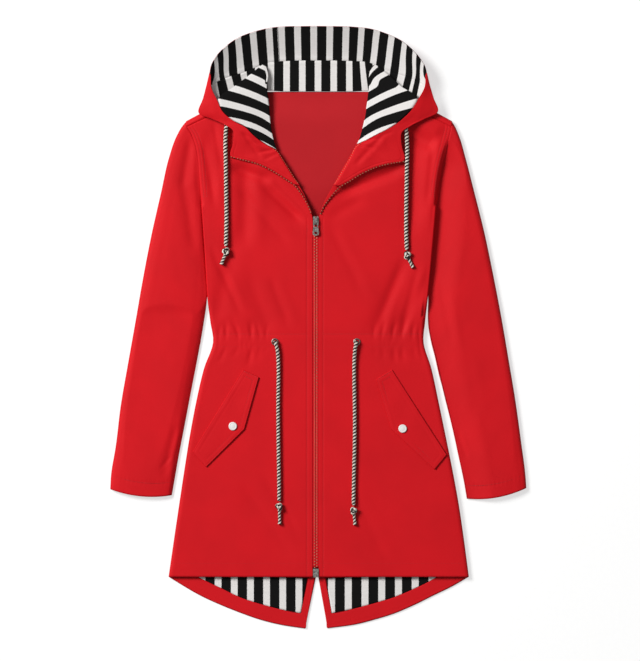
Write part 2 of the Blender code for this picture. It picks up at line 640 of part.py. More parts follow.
def back_half(side, shoulder, tail):
    """Grid of half the back on its outside: tail, body, armhole, then over the shoulder."""
    sign = -1.0 if side == 1 else 1.0
    grid = []
    tail_steps = 4
    top_y = BACK_ROWS[0][0]
    top_side = outer_x(top_y, side)
    top_line = back_line((VENT_APEX[0], top_y), top_side, top_y, BACK_CURL, 1.0)
    top_line[0] = (*VENT_APEX, 0.0)
    hem = [(row[0], row[1]) for row in tail]
    width = abs(top_side - VENT_APEX[0])
    for step in range(tail_steps):
        t = step / tail_steps
        weight = smoothstep(t * 1.2 - 0.2)
        curl = weight * BACK_CURL
        flat_line = back_line((VENT_APEX[0], top_y), top_side, top_y, curl, weight)
        line = []
        for x, y, z in flat_line:
            if x == VENT_APEX[0]:
                y = VENT_TOP_Y
            share = abs(x - VENT_APEX[0]) / width
            hem_x, hem_y = along(hem, share * (len(hem) - 1))
            line.append((lerp(hem_x, x, t), lerp(hem_y, y, t), z))
        grid.append(line)
    grid.append(top_line)
    for middle_y, side_y in BACK_ROWS[1:]:
        grid.append(back_line((VENT_APEX[0], middle_y), outer_x(side_y, side), side_y,
                              BACK_CURL, 1.0))
    middle_rows = [lerp(205.0, 376.0, k / 8) for k in range(9)]
    for k, station in enumerate(ARMHOLE):
        edge = station[side] - sign * SEAM / 2 * (k > 0)
        grid.append(back_line((VENT_APEX[0], middle_rows[k]), edge, station[0], station[4],
                              roll_weight(ARMHOLE_START + k)))
    count = len(grid[-1])
    seam = [(row[0], row[1]) for row in shoulder]
    fold = [(row[2], row[3]) for row in shoulder]
    wraps = ((-3.8, 0.7), (0.0, 5.4), (-3.4, 9.9))      # inward from the fold, height
    for inward, height in wraps:
        line = []
        for k in range(count):
            if k < NECK_COLUMN:
                flat = (lerp(VENT_APEX[0], fold[0][0], k / NECK_COLUMN), NECK_Y, 0.0)
                line.append(flat if height < 1.0 else None)
                continue
            place = (k - NECK_COLUMN) / (count - 1 - NECK_COLUMN) * (len(fold) - 1)
            seam_x, seam_y = along(seam, place)
            fold_x, fold_y = along(fold, place)
            length = math.hypot(fold_x - seam_x, fold_y - seam_y)
            share = 1.0 + inward / length
            x = lerp(seam_x, fold_x, share) - sign * END_GAP * (k == count - 1)
            line.append((x, lerp(seam_y, fold_y, share), height))
        grid.append(line)
    line = []
    for k in range(count):
        if k < NECK_COLUMN:
            line.append(None)
            continue
        place = (k - NECK_COLUMN) / (count - 1 - NECK_COLUMN) * (len(seam) - 1)
        x, y = along(seam, place)
        x -= sign * END_GAP * (k == count - 1)
        line.append((x, y + 3.0 * SEAM, front_height(x, y)))
    grid.append(line)
    return grid


def build_back():
    right = back_half(1, SHOULDER_RIGHT, TAIL_RIGHT)
    left = back_half(2, SHOULDER_LEFT, TAIL_LEFT)
    mirrored = [row[::-1] for row in left]
    return cloth("back", [right, mirrored], CLOTH, RED, "down")


def sleeve_grid(side, table):
    """Rings of a sleeve from the cuff to the armhole, open along the seam at its inner edge."""
    sign = -1.0 if side == 1 else 1.0
    top = [(row[side], row[0], row[3]) for row in ARMHOLE]
    wrap = [(row[side - 1], row[2], row[3]) for row in SHOULDER_WRAP[::-1]]
    under = [(row[side], row[0], row[4]) for row in ARMHOLE[::-1]]
    armhole = [(x + sign * SEAM / 2, y, z) for x, y, z in top + wrap + under]
    foot, head = table[-1][0:2], table[-1][2:4]
    run = (head[0] - foot[0], head[1] - foot[1])
    length = math.hypot(*run)
    grid = []
    for inner_x, inner_y, outer_x_, outer_y, height, own in table:
        ring = []
        for (share, rise), (arm_x, arm_y, arm_z) in zip(SLEEVE_RING, armhole):
            arm_share = ((arm_x - foot[0]) * run[0] + (arm_y - foot[1]) * run[1]) / length ** 2
            place = lerp(share, arm_share, own)
            x = lerp(inner_x, outer_x_, place)
            y = lerp(inner_y, outer_y, place)
            x += own * (arm_x - lerp(foot[0], head[0], arm_share))
            y += own * (arm_y - lerp(foot[1], head[1], arm_share))
            bow = CUFF_BOW * smoothstep((CUFF_BOW_TOP_Y - y) / 110.0)
            ring.append((x, y - bow * 4.0 * place * (1.0 - place), lerp(rise * height, arm_z, own)))
        grid.append(ring)
    return grid


# ---------------------------------------------------------------- hood

def hood_grid(first, last, steps, lift, rim_inset, reach):
    """Grid over the open hood between two of its three lines: 0 arch, 1 seam arc, 2 foot."""
    grid = []
    for rib in HOOD_RIBS:
        points = [rib[0:3], rib[3:6], rib[6:9]]
        line = []
        for k in range(steps + 1):
            place = lerp(first, last, k / steps)
            low = min(int(place), 1)
            a, b = points[low], points[low + 1]
            t = place - low
            sag = t if low else 1.0 - (1.0 - t) ** 1.25
            x, y, z = lerp(a[0], b[0], t), lerp(a[1], b[1], t), lerp(a[2], b[2], sag)
            if place == 0.0:
                size = math.hypot(x, y - ARCH_Y)
                x -= rim_inset * x / size
                y -= rim_inset * (y - ARCH_Y) / size
            if place == last:
                y += reach
            line.append((x, y, z + lift))
        grid.append(line)
    return grid


def build_hood():
    drop = LINING + SEAM + 0.6
    cloth("hood_center", [hood_grid(0, 2, 8, -drop, 0.0, 0.0)], CLOTH, RED)
    cloth("hood_lining_crown", [hood_grid(0, 1, 4, 0.0, 0.9, SEAM)], LINING, STRIPE)
    cloth("hood_lining_nape", [hood_grid(1, 2, 4, 0.0, 0.0, 0.0)], LINING, STRIPE)
    across = shares(6)
    for side, lining, outside in (("right", LINING_RIGHT, HOOD_SIDE_RIGHT),
                                  ("left", LINING_LEFT, HOOD_SIDE_LEFT)):
        cloth("hood_lining_" + side, [between(lining, across, bulge=0.6)], LINING, STRIPE)
        cloth("hood_side_" + side, [between(outside, across)], CLOTH, RED)


def build_facing(name, table):
    """Facing of the front edge and the hood edge, turned out, with a lip down at the roll line."""
    lip_foot = 13.4
    even = (0.0, 0.12, 0.24, 0.38, 0.52, 0.68, 0.84, 1.0)
    drops = (1.0, 0.35, 0.0)
    grid = []
    for row in table:
        inner, outer, lip = row[0:3], row[3:6], row[6]
        width = math.dist(inner[:2], outer[:2])
        rolled = (0.0, 0.8 / width, 3.4 / width, *even[3:])
        line = []
        for k in range(len(even)):
            share = lerp(even[k], rolled[k], min(2.0 * lip, 1.0))
            x, y, z = (lerp(a, b, share) for a, b in zip(inner, outer))
            if k < len(drops):
                z -= drops[k] * lip * (inner[2] - lip_foot)
            line.append((x, y, z + 2.4 * share * (1.0 - share)))
        grid.append(line)
    cloth(name, [grid], CLOTH, RED)


# ---------------------------------------------------------------- tail, flaps

def build_tail(side, tail, vent):
    """Lining and turned-up edge that lie on the inside of the tail."""
    vent_edge, vent_lining = vent
    sign = -1.0 if side == "right" else 1.0
    base = CLOTH + SEAM
    edge = [(x - sign * 0.5, y + 0.7) for x, y, _, _ in tail]
    seam = [(x, y) for _, _, x, y in tail]
    vent_y = -402.0
    lining = []
    for share in shares(5):
        line = []
        for k in range(len(seam)):
            x, y = seam[k]
            top_x = lerp(vent_lining, seam[-1][0] - sign * 6.0, k / (len(seam) - 1))
            line.append((lerp(x, top_x, share), lerp(y, vent_y, share), base + LINING))
        lining.append(line)
    cloth("tail_lining_" + side, [lining[:-1]], LINING, STRIPE)
    corner = (edge[0], seam[0])
    up_vent = [((vent_edge + sign * 0.8, vent_y - 8.0), (vent_lining - sign * SEAM, vent_y - 8.0))]
    for share in (0.35, 0.7):
        outer = tuple(lerp(a, b, share) for a, b in zip(up_vent[0][0], corner[0]))
        inner = tuple(lerp(a, b, share) for a, b in zip(up_vent[0][1], corner[1]))
        up_vent.append((outer, (inner[0] - sign * SEAM, inner[1])))
    turned = []
    for outer, inner in up_vent:
        turned.append([(*outer, base + CLOTH), (*lerp2(outer, inner, 0.5), base + CLOTH),
                       (*inner, base + CLOTH)])
    for k in range(len(edge)):
        outer = edge[k]
        inner = (seam[k][0] - sign * SEAM * (k == 0), seam[k][1] - SEAM * 1.2)
        turned.append([(*outer, base + CLOTH), (*lerp2(outer, inner, 0.5), base + CLOTH),
                       (*inner, base + CLOTH)])
    cloth("tail_facing_" + side, [turned], CLOTH, RED)


def lerp2(a, b, t):
    return (lerp(a[0], b[0], t), lerp(a[1], b[1], t))


def build_flap(name, corners):
    """Slanting pocket flap that lies on a front, its pointed end free and a little lifted."""
    top, shoulder, bend, tip, back = corners
    near_edge = (shoulder, bend, tip)
    far_edge = (top, lerp2(top, back, 0.52), back)
    lengthwise, sidewise = 8, 5
    grid = []
    for share in shares(lengthwise):
        place = share * 2.0
        low = min(int(place), 1)
        near = lerp2(near_edge[low], near_edge[low + 1], place - low)
        far = lerp2(far_edge[low], far_edge[low + 1], place - low)
        line = []
        for across in shares(sidewise):
            x, y = lerp2(near, far, across)
            free = max(1.0 - across, share) ** 2
            line.append((x, y, front_height(x, y) + REST + CLOTH + 0.8 * free))
        grid.append(line)
    cloth(name, [grid], CLOTH, RED)


def turned(name, centre, profile, sides, colour, roughness, metallic):
    """Solid of revolution about a vertical axis; a profile row is radius, height."""
    shape = bmesh.new()
    rings = []
    for radius, height in profile:
        if radius == 0.0:
            rings.append([shape.verts.new((centre[0], centre[1], height))])
            continue
        ring = []
        for k in range(sides):
            angle = 2.0 * math.pi * k / sides
            x = centre[0] + radius * math.cos(angle)
            y = centre[1] + radius * math.sin(angle)
            ring.append(shape.verts.new((x, y, height)))
        rings.append(ring)
    closed = len(rings[0]) > 1
    pairs = list(zip(rings, rings[1:]))
    if closed:
        pairs.append((rings[-1], rings[0]))
    for lower, upper in pairs:
        for k in range(sides):
            after = (k + 1) % sides
            if len(lower) == 1:
                shape.faces.new((lower[0], upper[after], upper[k]))
            elif len(upper) == 1:
                shape.faces.new((lower[k], lower[after], upper[0]))
            else:
                shape.faces.new((lower[k], lower[after], upper[after], upper[k]))
    mesh = bpy.data.meshes.new(name)
    shape.to_mesh(mesh)
    shape.free()
    return add_object(name, mesh, colour, roughness, metallic)


def build_snap(name, centre):
    base = front_height(*centre) + REST + CLOTH + 1.5
    radius = SNAP_D / 2.0
    profile = ((0.0, base), (radius - 0.6, base), (radius, base + 0.5), (radius - 0.2, base + 1.4),
               (radius - 1.4, base + 2.1), (radius - 3.5, base + 2.5), (0.0, base + 2.6))
    turned(name, centre, profile, 20, WHITE, 0.3, 0.0)


def build_eyelet(name, centre):
    base = front_height(*centre) + 0.9
    profile = ((3.9, base), (5.6, base), (5.9, base + 0.6), (5.0, base + 1.3), (3.9, base + 1.2))
    turned(name, centre, profile, 18, METAL, 0.35, 1.0)


# ---------------------------------------------------------------- zip

ZIP_ROWS = (-398.0, -350.0, -300.0, -250.0, -205.0, -160.0, -120.0, -66.0, -20.0, 32.0, 100.0,
            171.0)


def strip(name, x0, x1, drop, thickness, colour, metallic=0.0):
    """A straight band along the zip, its top a drop below the fronts."""
    grid = []
    for y in ZIP_ROWS:
        top = table_at(LOFT, y, 1) - drop
        grid.append([(x0, y, top), (x1, y, top)])
    return cloth(name, [grid], thickness, colour, metallic=metallic)


def outline_plate(name, outline, low, high, colour, roughness, metallic, holes=()):
    """Flat plate of an outline, with holes through it, bridged with bmesh."""
    shape = bmesh.new()
    edges = []
    for loop in (outline, *holes):
        dots = [shape.verts.new((x, y, low)) for x, y in loop]
        for a, b in zip(dots, dots[1:] + dots[:1]):
            edges.append(shape.edges.new((a, b)))
    bmesh.ops.triangle_fill(shape, use_beauty=True, use_dissolve=False, edges=edges)
    for face in shape.faces:
        if face.normal.z > 0.0:
            face.normal_flip()
    made = bmesh.ops.extrude_face_region(shape, geom=shape.faces[:])
    moved = [item for item in made["geom"] if isinstance(item, bmesh.types.BMVert)]
    bmesh.ops.translate(shape, verts=moved, vec=(0.0, 0.0, high - low))
    bmesh.ops.recalc_face_normals(shape, faces=shape.faces[:])
    mesh = bpy.data.meshes.new(name)
    shape.to_mesh(mesh)
    shape.free()
    return add_object(name, mesh, colour, roughness, metallic)


def oval(x, y, half_width, half_length, count=12):
    turn = [2.0 * math.pi * (k + 0.5) / count for k in range(count)]
    return [(x + half_width * math.cos(a), y + half_length * math.sin(a)) for a in turn]


LAPEL_CORNER = 8                      # row of the facings at the lapel's outer corner
PULL_AXIS = (ZIP_X, 178.4, 16.2)      # where the pull hangs on the slider's bail
PULL_END_Y = 153.3


def build_zip():
    strip("zip_tape_right", -16.0, ZIP_X - 3.5, CLOTH + REST, 0.9, RED)
    strip("zip_tape_left", ZIP_X + 3.5, 7.8, CLOTH + REST, 0.9, RED)
    strip("zip_chain", ZIP_X - 3.0, ZIP_X + 3.0, 0.5, 2.6, METAL, 0.6)
    for side, table, end in (("right", FACING_RIGHT, ZIP_HALF_END_RIGHT),
                             ("left", FACING_LEFT, ZIP_HALF_END_LEFT)):
        edge = [row[3:6] for row in table[LAPEL_CORNER:]] + list(end)
        edge[0] = tuple(lerp(a, b, 0.12) for a, b in zip(edge[0], edge[1]))
        rows = []
        for k, (x, y, z) in enumerate(edge):
            before, after = edge[max(k - 1, 0)], edge[min(k + 1, len(edge) - 1)]
            run_x, run_y = after[0] - before[0], after[1] - before[1]
            length = math.hypot(run_x, run_y)
            out_x, out_y = math.copysign(run_y / length, x), -abs(run_x) / length
            rows.append((x + 0.8 * out_x, y + 0.8 * out_y, z - 0.2,
                         x + 3.8 * out_x, y + 3.8 * out_y, z - 0.9))
        cloth("zip_half_" + side, [between(rows, shares(1))], CLOTH, METAL)

    top = table_at(LOFT, ZIP_TOP_Y, 1)
    half = 4.5
    body = [(ZIP_X - half, 184.0), (ZIP_X - half + 1.0, ZIP_TOP_Y), (ZIP_X + half - 1.0, ZIP_TOP_Y),
            (ZIP_X + half, 184.0), (ZIP_X + half - 0.2, 178.0), (ZIP_X + half - 1.2, 171.6),
            (ZIP_X - half + 1.2, 171.6), (ZIP_X - half + 0.2, 178.0)]
    slider = outline_plate("zip_slider", body[::-1], top - 3.6, top + 1.6, METAL, 0.35, 1.0)
    bail = outline_plate("bail", arch_outline(), -1.5, 1.5, METAL, 0.35, 1.0)
    bail.rotation_euler = (math.radians(90.0), 0.0, math.radians(90.0))
    bail.location = (ZIP_X * MM, 0.0, 0.0)
    union = slider.modifiers.new("bail", "BOOLEAN")
    union.operation = "UNION"
    union.solver = "EXACT"
    union.object = bail
    bail.hide_render = True
    bail.display_type = "WIRE"

    x, y, z = PULL_AXIS
    outline = [(x - 4.2, y + 0.4), (x - 3.4, y + 1.0), (x + 3.4, y + 1.0), (x + 4.2, y + 0.4),
               (x + 4.6, y - 4.0), (x + 3.9, y - 9.0), (x + 4.4, y - 15.0), (x + 5.4, y - 20.0),
               (x + 4.6, y - 23.8), (x + 2.4, PULL_END_Y), (x - 2.4, PULL_END_Y),
               (x - 4.6, y - 23.8), (x - 5.4, y - 20.0), (x - 4.4, y - 15.0), (x - 3.9, y - 9.0),
               (x - 4.6, y - 4.0)]
    slot = [(x - 2.2, y - 1.0), (x + 2.2, y - 1.0), (x + 2.2, y - 10.5), (x - 2.2, y - 10.5)]
    hole = oval(x, y - 20.6, 2.8, 2.1)
    outline_plate("zip_pull", outline[::-1], z - 0.8, z + 0.8, METAL, 0.35, 1.0, (slot, hole))

    box_y = (-414.2, -400.0)
    low = table_at(LOFT, box_y[0], 1)
    box = [(ZIP_X - 4.6, box_y[0]), (ZIP_X + 4.6, box_y[0]), (ZIP_X + 4.6, box_y[1]),
           (ZIP_X - 4.6, box_y[1])]
    outline_plate("zip_box", box, low - 3.0, low + 1.6, METAL, 0.4, 0.8)


def arch_outline():
    """Side of the slider's bail, y and height: an arch over the pull's bar."""
    y, z = PULL_AXIS[1], PULL_AXIS[2]
    foot = table_at(LOFT, ZIP_TOP_Y, 1) + 0.9
    outer = [(y + 6.6, foot), (y + 6.6, z + 1.0), (y + 5.0, z + 3.0), (y - 3.4, z + 3.0),
             (y - 5.6, z + 1.0), (y - 5.6, foot)]
    inner = [(y - 3.4, foot), (y - 3.4, z + 0.6), (y - 2.6, z + 1.6), (y + 3.6, z + 1.6),
             (y + 4.4, z + 0.6), (y + 4.4, foot)]
    return outer + inner


# ---------------------------------------------------------------- cords

def curve_tube(name, points, diameter, colour):
    """Round cord on a poly spline; a point may carry its own radius, in millimetres."""
    data = bpy.data.curves.new(name, "CURVE")
    data.dimensions = "3D"
    data.resolution_u = 1
    data.bevel_depth = diameter / 2.0 * MM
    data.bevel_resolution = 2
    data.use_fill_caps = True
    spline = data.splines.new("POLY")
    spline.points.add(len(points) - 1)
    for dot, place in zip(spline.points, points):
        dot.co = (place[0] * MM, place[1] * MM, place[2] * MM, 1.0)
        if len(place) > 3:
            dot.radius = place[3] / (diameter / 2.0)
    data.materials.append(material(name, colour, 0.8))
    made = bpy.data.objects.new(name, data)
    bpy.context.collection.objects.link(made)
    return made


def smooth_route(route, spacing):
    """Points a given spacing apart on the smooth curve through a hand-made route."""
    fine = [along(route, k / 20.0) for k in range(20 * (len(route) - 1) + 1)]
    length = sum(math.dist(a, b) for a, b in zip(fine, fine[1:]))
    count = max(2, round(length / spacing))
    step = length / count
    picked, walked = [fine[0]], 0.0
    for a, b in zip(fine, fine[1:]):
        walked += math.dist(a, b)
        if walked >= step * len(picked) - 1e-6 and len(picked) < count:
            picked.append(b)
    return picked + [fine[-1]]


def build_cords():
    hood = ((HOOD_CORD_RIGHT, HOOD_KNOT_RIGHT, "right"), (HOOD_CORD_LEFT, HOOD_KNOT_LEFT, "left"))
    waist = ((WAIST_CORD_RIGHT, WAIST_KNOT_RIGHT, "right"), (WAIST_CORD_LEFT, WAIST_KNOT_LEFT, "left"))
    for place, group, diameter in (("hood", hood, CORD_D), ("waist", waist, WAIST_CORD_D)):
        for route, knot, side in group:
            points = smooth_route(route, 2.4 * diameter)
            curve_tube(place + "_cord_" + side, points, diameter, CORD_GREY)
            curve_tube(place + "_knot_" + side, knot, diameter, CORD_GREY)


def main():
    for old in list(bpy.data.objects):
        bpy.data.objects.remove(old, do_unlink=True)
    build_back()
    build_front("front_right", 1, GATHERS_RIGHT, SHOULDER_RIGHT)
    build_front("front_left", 2, GATHERS_LEFT, SHOULDER_LEFT)
    cloth("sleeve_right", [sleeve_grid(1, SLEEVE_RIGHT)], CLOTH, RED, "tube")
    cloth("sleeve_left", [sleeve_grid(2, SLEEVE_LEFT)], CLOTH, RED, "tube")
    build_hood()
    build_facing("facing_right", FACING_RIGHT)
    build_facing("facing_left", FACING_LEFT)
    build_tail("right", TAIL_RIGHT, VENT_RIGHT)
    build_tail("left", TAIL_LEFT, VENT_LEFT)
    build_flap("pocket_flap_right", FLAP_RIGHT)
    build_flap("pocket_flap_left", FLAP_LEFT)
    build_snap("snap_right", SNAP_RIGHT)
    build_snap("snap_left", SNAP_LEFT)
    build_eyelet("eyelet_right", (-72.0, -23.0))
    build_eyelet("eyelet_left", (64.0, -23.0))
    build_zip()
    build_cords()


main()
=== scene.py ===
"""Looks of the windbreaker: cloth, stripes, stitching, zip, studs and braided drawstrings.

Tables are in millimetres, as in the part's source; +X is the wearer's left, +Y runs up to the hood.
"""
import math
import random

import bpy
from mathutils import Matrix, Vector, noise


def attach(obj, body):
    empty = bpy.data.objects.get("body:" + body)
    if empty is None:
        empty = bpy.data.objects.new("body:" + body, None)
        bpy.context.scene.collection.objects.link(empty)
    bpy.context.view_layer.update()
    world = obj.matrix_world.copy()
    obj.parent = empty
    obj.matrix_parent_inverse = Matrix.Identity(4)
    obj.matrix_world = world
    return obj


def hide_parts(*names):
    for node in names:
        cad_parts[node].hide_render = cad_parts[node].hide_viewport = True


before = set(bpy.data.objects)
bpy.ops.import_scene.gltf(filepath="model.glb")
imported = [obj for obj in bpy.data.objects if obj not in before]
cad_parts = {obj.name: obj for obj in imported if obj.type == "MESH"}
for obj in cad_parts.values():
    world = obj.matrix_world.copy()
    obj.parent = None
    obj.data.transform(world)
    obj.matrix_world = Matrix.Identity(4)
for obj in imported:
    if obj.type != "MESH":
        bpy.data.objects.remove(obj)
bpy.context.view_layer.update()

SIDES = ((1, "right"), (2, "left"))
SIGN = {1: -1, 2: 1}    # which way x grows towards a side

MM = 0.001
CLOTH = 1.5            # shell cloth, as a wall
LINING = 1           # lining cloth, as a wall
SEAM = 0.3             # gap between sewn pieces
REST = 0.5             # gap under a piece that lies on a panel
HEM_Y = -413.6         # straight front hem
TAIL_Y = -500.2        # end of the longer back
HOOD_Y = 499.6         # top of the open hood
NECK_Y = 393         # neck seam of the back
ARCH_Y = 420         # middle that the hood's arch is drawn round
ZIP_X = -4.2           # middle of the zip
VENT_TOP_Y = -404    # where the vent in the tail ends
ROLL = 8             # radius of the rounded side edges
SIDE_SEAM_Z = 5.2      # height of the fronts' side edges above the floor
BACK_CURL = 4.7        # height that the back's side edges curl up to
WAIST_Y = -20        # middle of the drawn-in waist channel
CUFF_BOW = 6.8         # how far the middle of a cuff hangs below its corners
CUFF_BOW_TOP_Y = -150
CORD_D = 7           # hood cord
WAIST_CORD_D = 6.4     # waist cord
SNAP_D = 14          # press stud cap on a pocket flap
STRIPE_WIDTH = 26.6    # one black and one white stripe

RED = (0.62, 0.0063, 0.0118)
# the cloth's wrong side: its own darker red, darkened further with painted shade so the open neck's inside
# looks shaded
INSIDE_RED_AND_SHADE = (0.465, 0.0112, 0.0168)
BLACK = (0.0046, 0.0044, 0.0044)
WHITE = (0.80, 0.775, 0.76)

# body outline: y, x of the right side, x of the left side
BODY_SIDE = (
    (HEM_Y, -249, 250.4),
    (-350, -239.8, 242),
    (-292, -231.2, 233.4),
    (-235, -222.6, 223),
    (-178, -213.5, 211.5),
    (-120, -202.5, 199.5),
    (-67, -190, 188),
    (-25, -175.2, 175.2),
    (10, -179.5, 177.6),
    (45, -184, 181.6),
    (90, -187.2, 186.4),
    (130, -189.6, 190),
    (170, -192.4, 193.6),
    (205, -194.8, 196.4),
)
# armhole seam from the underarm to the shoulder: y, right x, left x, top height, underside height
ARMHOLE = (
    (205, -194.8, 196.4, 5.8, 4),
    (213, -195.1, 197, 7.6, 2.2),
    (228, -196, 198.2, 9.2, 0.8),
    (254, -197.8, 201.4, 10.4, 0),
    (282, -200.2, 207.6, 10.8, 0),
    (304, -204.2, 213.6, 11, 0),
    (319, -209.4, 217.6, 11, 0),
    (328, -214.2, 219.8, 11, 0),
    (334, -218.2, 220.9, 11, 0),
)
# the back's cloth over the shoulder end: right x, left x, y, height (outside of the wall)
SHOULDER_WRAP = (
    (-218.9, 221.5, 340.2, 0.7),
    (-219.4, 221.9, 344, 5.4),
    (-218.9, 221.5, 340.6, 9.9),
)
# shoulder from the neck to the armhole: x of seam, y of seam, x of silhouette, y of silhouette
SHOULDER_RIGHT = (
    (-83, 380.5, -86, 392),
    (-115, 373, -118.5, 384.4),
    (-150, 362.6, -154.5, 373.6),
    (-180, 351.8, -185.5, 361.8),
    (-203, 341.4, -207, 350.8),
    (-218.2, 334, -219.4, 344),
)
SHOULDER_LEFT = (
    (83, 380.5, 86, 392),
    (115, 373.4, 118.5, 384.8),
    (150, 363.6, 154.5, 374.6),
    (181, 353, 186.5, 363),
    (204, 342.4, 208.5, 351.6),
    (220.9, 334, 221.9, 344),
)
# inner edge of the fronts, up the zip and the roll line: y, right x, left x
FRONT_INNER = (
    (HEM_Y, -9.6, 0.7),
    (150, -9.6, 0.7),
    (183, -9.8, 1.2),
    (208, -17.2, 9.2),
    (230, -28, 21),
    (262, -47.6, 38.8),
    (295, -68.6, 57.6),
    (309, -74.4, 65),
    (338, -79, 74.6),
    (369, -81.4, 80.2),
    (380.5, -83, 83),
)
# rows of the fronts: y at the inner edge, y at the outer edge
FRONT_ROWS = (
    (HEM_Y, HEM_Y), (-396, -396), (-350, -350), (-300, -300), (-250, -250),
    (-205, -205), (-160, -160), (-120, -120), (-90, -90), (-66, -66),
    (-47, -47), (-33, -33), (-20, -20), (-7, -7), (9, 8), (32, 30),
    (64, 60), (100, 95), (138, 130), (180, 170), (216, 205), (226, 213),
    (242, 228), (270, 254), (298, 282), (326, 304), (350, 319),
    (367, 328), (380.5, 334),
)
ARMHOLE_START = 20     # the row of the fronts that meets the underarm
# soft height of the fronts above the floor: y, height
LOFT = (
    (HEM_Y, 10.6), (-380, 11), (-300, 11.6), (-100, 12), (-20, 11.6),
    (80, 12.4), (200, 12.8), (300, 12.6), (350, 12.2), (394, 12),
)
# gathers at the waist: x and y at the top, x at the channel's top, x at its foot, x and y at the
# bottom, depth, half width
GATHERS_RIGHT = (
    (-160, 16, -165, -164, -170, -50, 1.4, 3.2),
    (-155, 20, -153, -153.5, -167, -64, 2.6, 3.4),
    (-148, 24, -133, -133, -142, -52, 2.4, 3.4),
    (-113, 20, -111.5, -110.8, -117.5, -72, 3, 3.4),
    (-108, 24, -98, -97, -101, -58, 1.6, 3.2),
    (-84, 12, -87, -86, -90, -46, 1.2, 2.6),
)
GATHERS_LEFT = (
    (168, 14, 167, 167.5, 176, -62, 1.8, 3.2),
    (160, 20, 156.5, 157, 163, -58, 2.4, 3.4),
    (150, 30, 139.5, 139, 141, -64, 2.6, 3.4),
    (130, 22, 123.5, 124.5, 128, -66, 2.8, 3.4),
    (112, 24, 106, 105.5, 110, -58, 2.2, 3.2),
    (94, 14, 92, 92.5, 96, -50, 1.6, 3),
)
# soft folds of the fronts: x and y of one end, x and y of the other, half width, depth
FOLDS = (
    (-138, 154, -171, 13, 13, 1.6),
    (-113, 80, -82, -3, 12, 1.5),
    (-82, 236, -34, 181, 9, 2),
    (-180, 318, -172, 240, 9, 1.5),
    (139, 96, 92, 0, 12, 1.6),
    (180, 84, 138, -3, 10, 1.6),
    (69, 212, 24, 186, 10, 1.2),
    (-120, -285, -60, -380, 20, 1),
)
# sleeve edges from the cuff to the armhole: x and y of the inner edge, x and y of the outer edge,
# height of the top, share of the armhole's own shape
SLEEVE_RIGHT = (
    (-243.5, -278, -346, -268, 11, 0),
    (-239.5, -255, -344.8, -246, 11.4, 0),
    (-232, -212, -336.8, -196, 12.2, 0),
    (-223.5, -168, -328.4, -128, 12.8, 0),
    (-211.5, -105, -316.6, -60, 13.2, 0),
    (-200.5, -48, -303.8, 12, 13.4, 0),
    (-190.6, 8, -291.6, 82, 13.4, 0),
    (-185.4, 48, -277.2, 156, 13.4, 0.05),
    (-188.3, 92, -261.4, 226, 13.2, 0.2),
    (-191, 130, -248.8, 282, 13, 0.45),
    (-193.6, 166, -236.4, 318, 12.6, 0.72),
    (-195.1, 190, -227.2, 334.6, 12, 0.92),
    (-195.5, 205, -219.7, 344.2, 11.2, 1),
)
SLEEVE_LEFT = (
    (247, -284, 346, -266, 11, 0),
    (243, -260, 344.6, -246, 11.4, 0),
    (233.4, -214, 337.4, -190, 12.2, 0),
    (222.8, -166, 327.4, -118, 12.8, 0),
    (208.4, -108, 316.4, -52, 13.2, 0),
    (195, -50, 304.8, 16, 13.4, 0),
    (183.4, 0, 291.8, 84, 13.4, 0),
    (183, 48, 276.4, 158, 13.4, 0.05),
    (187.6, 92, 258.6, 230, 13.2, 0.2),
    (191.4, 130, 244.8, 284, 13, 0.45),
    (195.2, 166, 235, 318, 12.6, 0.72),
    (196.9, 190, 227.4, 336, 12, 0.92),
    (197.1, 205, 222.3, 344.6, 11.2, 1),
)
# section of a sleeve, from the seam over the top to the seam: share of the width, share of the height
SLEEVE_RING = (
    (0, 0.45), (0.0005, 0.54), (0.05, 0.70), (0.18, 0.86), (0.36, 0.96), (0.56, 1),
    (0.76, 0.98), (0.91, 0.88), (0.97, 0.74), (0.992, 0.58), (1, 0.42), (0.992, 0.22),
    (0.965, 0.06), (0.90, 0), (0.76, 0), (0.56, 0), (0.36, 0), (0.18, 0), (0.05, 0.05),
    (0.0005, 0.25), (0, 0.355),
)
# open hood, right half then left: arch x, y, z; seam arc x, y, z; foot x, y, z
HOOD_RIBS = (
    (-179, 422, 30, -181, 400, 22, -175, 374.5, 18),
    (-174.8, 440, 30.4, -166, 409, 16.5, -160, 379, 15),
    (-159, 461, 31, -149, 416.5, 13, -141, 385.6, 10.5),
    (-129.5, 482, 31.5, -122, 425, 10, -117, 393, 6.5),
    (-89, 494.9, 32, -84, 440.5, 8.2, -84, 394.5, 4),
    (-58, 498.8, 32, -56, 443, 7.5, -56, 393.4, 3.7),
    (-29, 499.4, 32, -28, 444, 7.5, -28, 393.4, 3.7),
    (0, HOOD_Y, 32, 0, 444, 7.5, 0, 393.4, 3.7),
    (29, 499.3, 32, 28, 444, 7.5, 28, 393.4, 3.7),
    (58, 498.4, 32, 56, 443, 7.5, 56, 393.4, 3.7),
    (93, 493.7, 32, 84, 440.5, 8.2, 84, 394.5, 4),
    (132, 478.8, 31.5, 122, 425, 10, 117, 393.4, 6.5),
    (157.4, 459.2, 31, 149, 416.5, 13, 141, 386.2, 10.5),
    (174.4, 437, 30.4, 165, 409, 16.5, 159, 380, 15),
    (178.6, 422, 30, 179.5, 400, 22, 173, 375.5, 18),
)
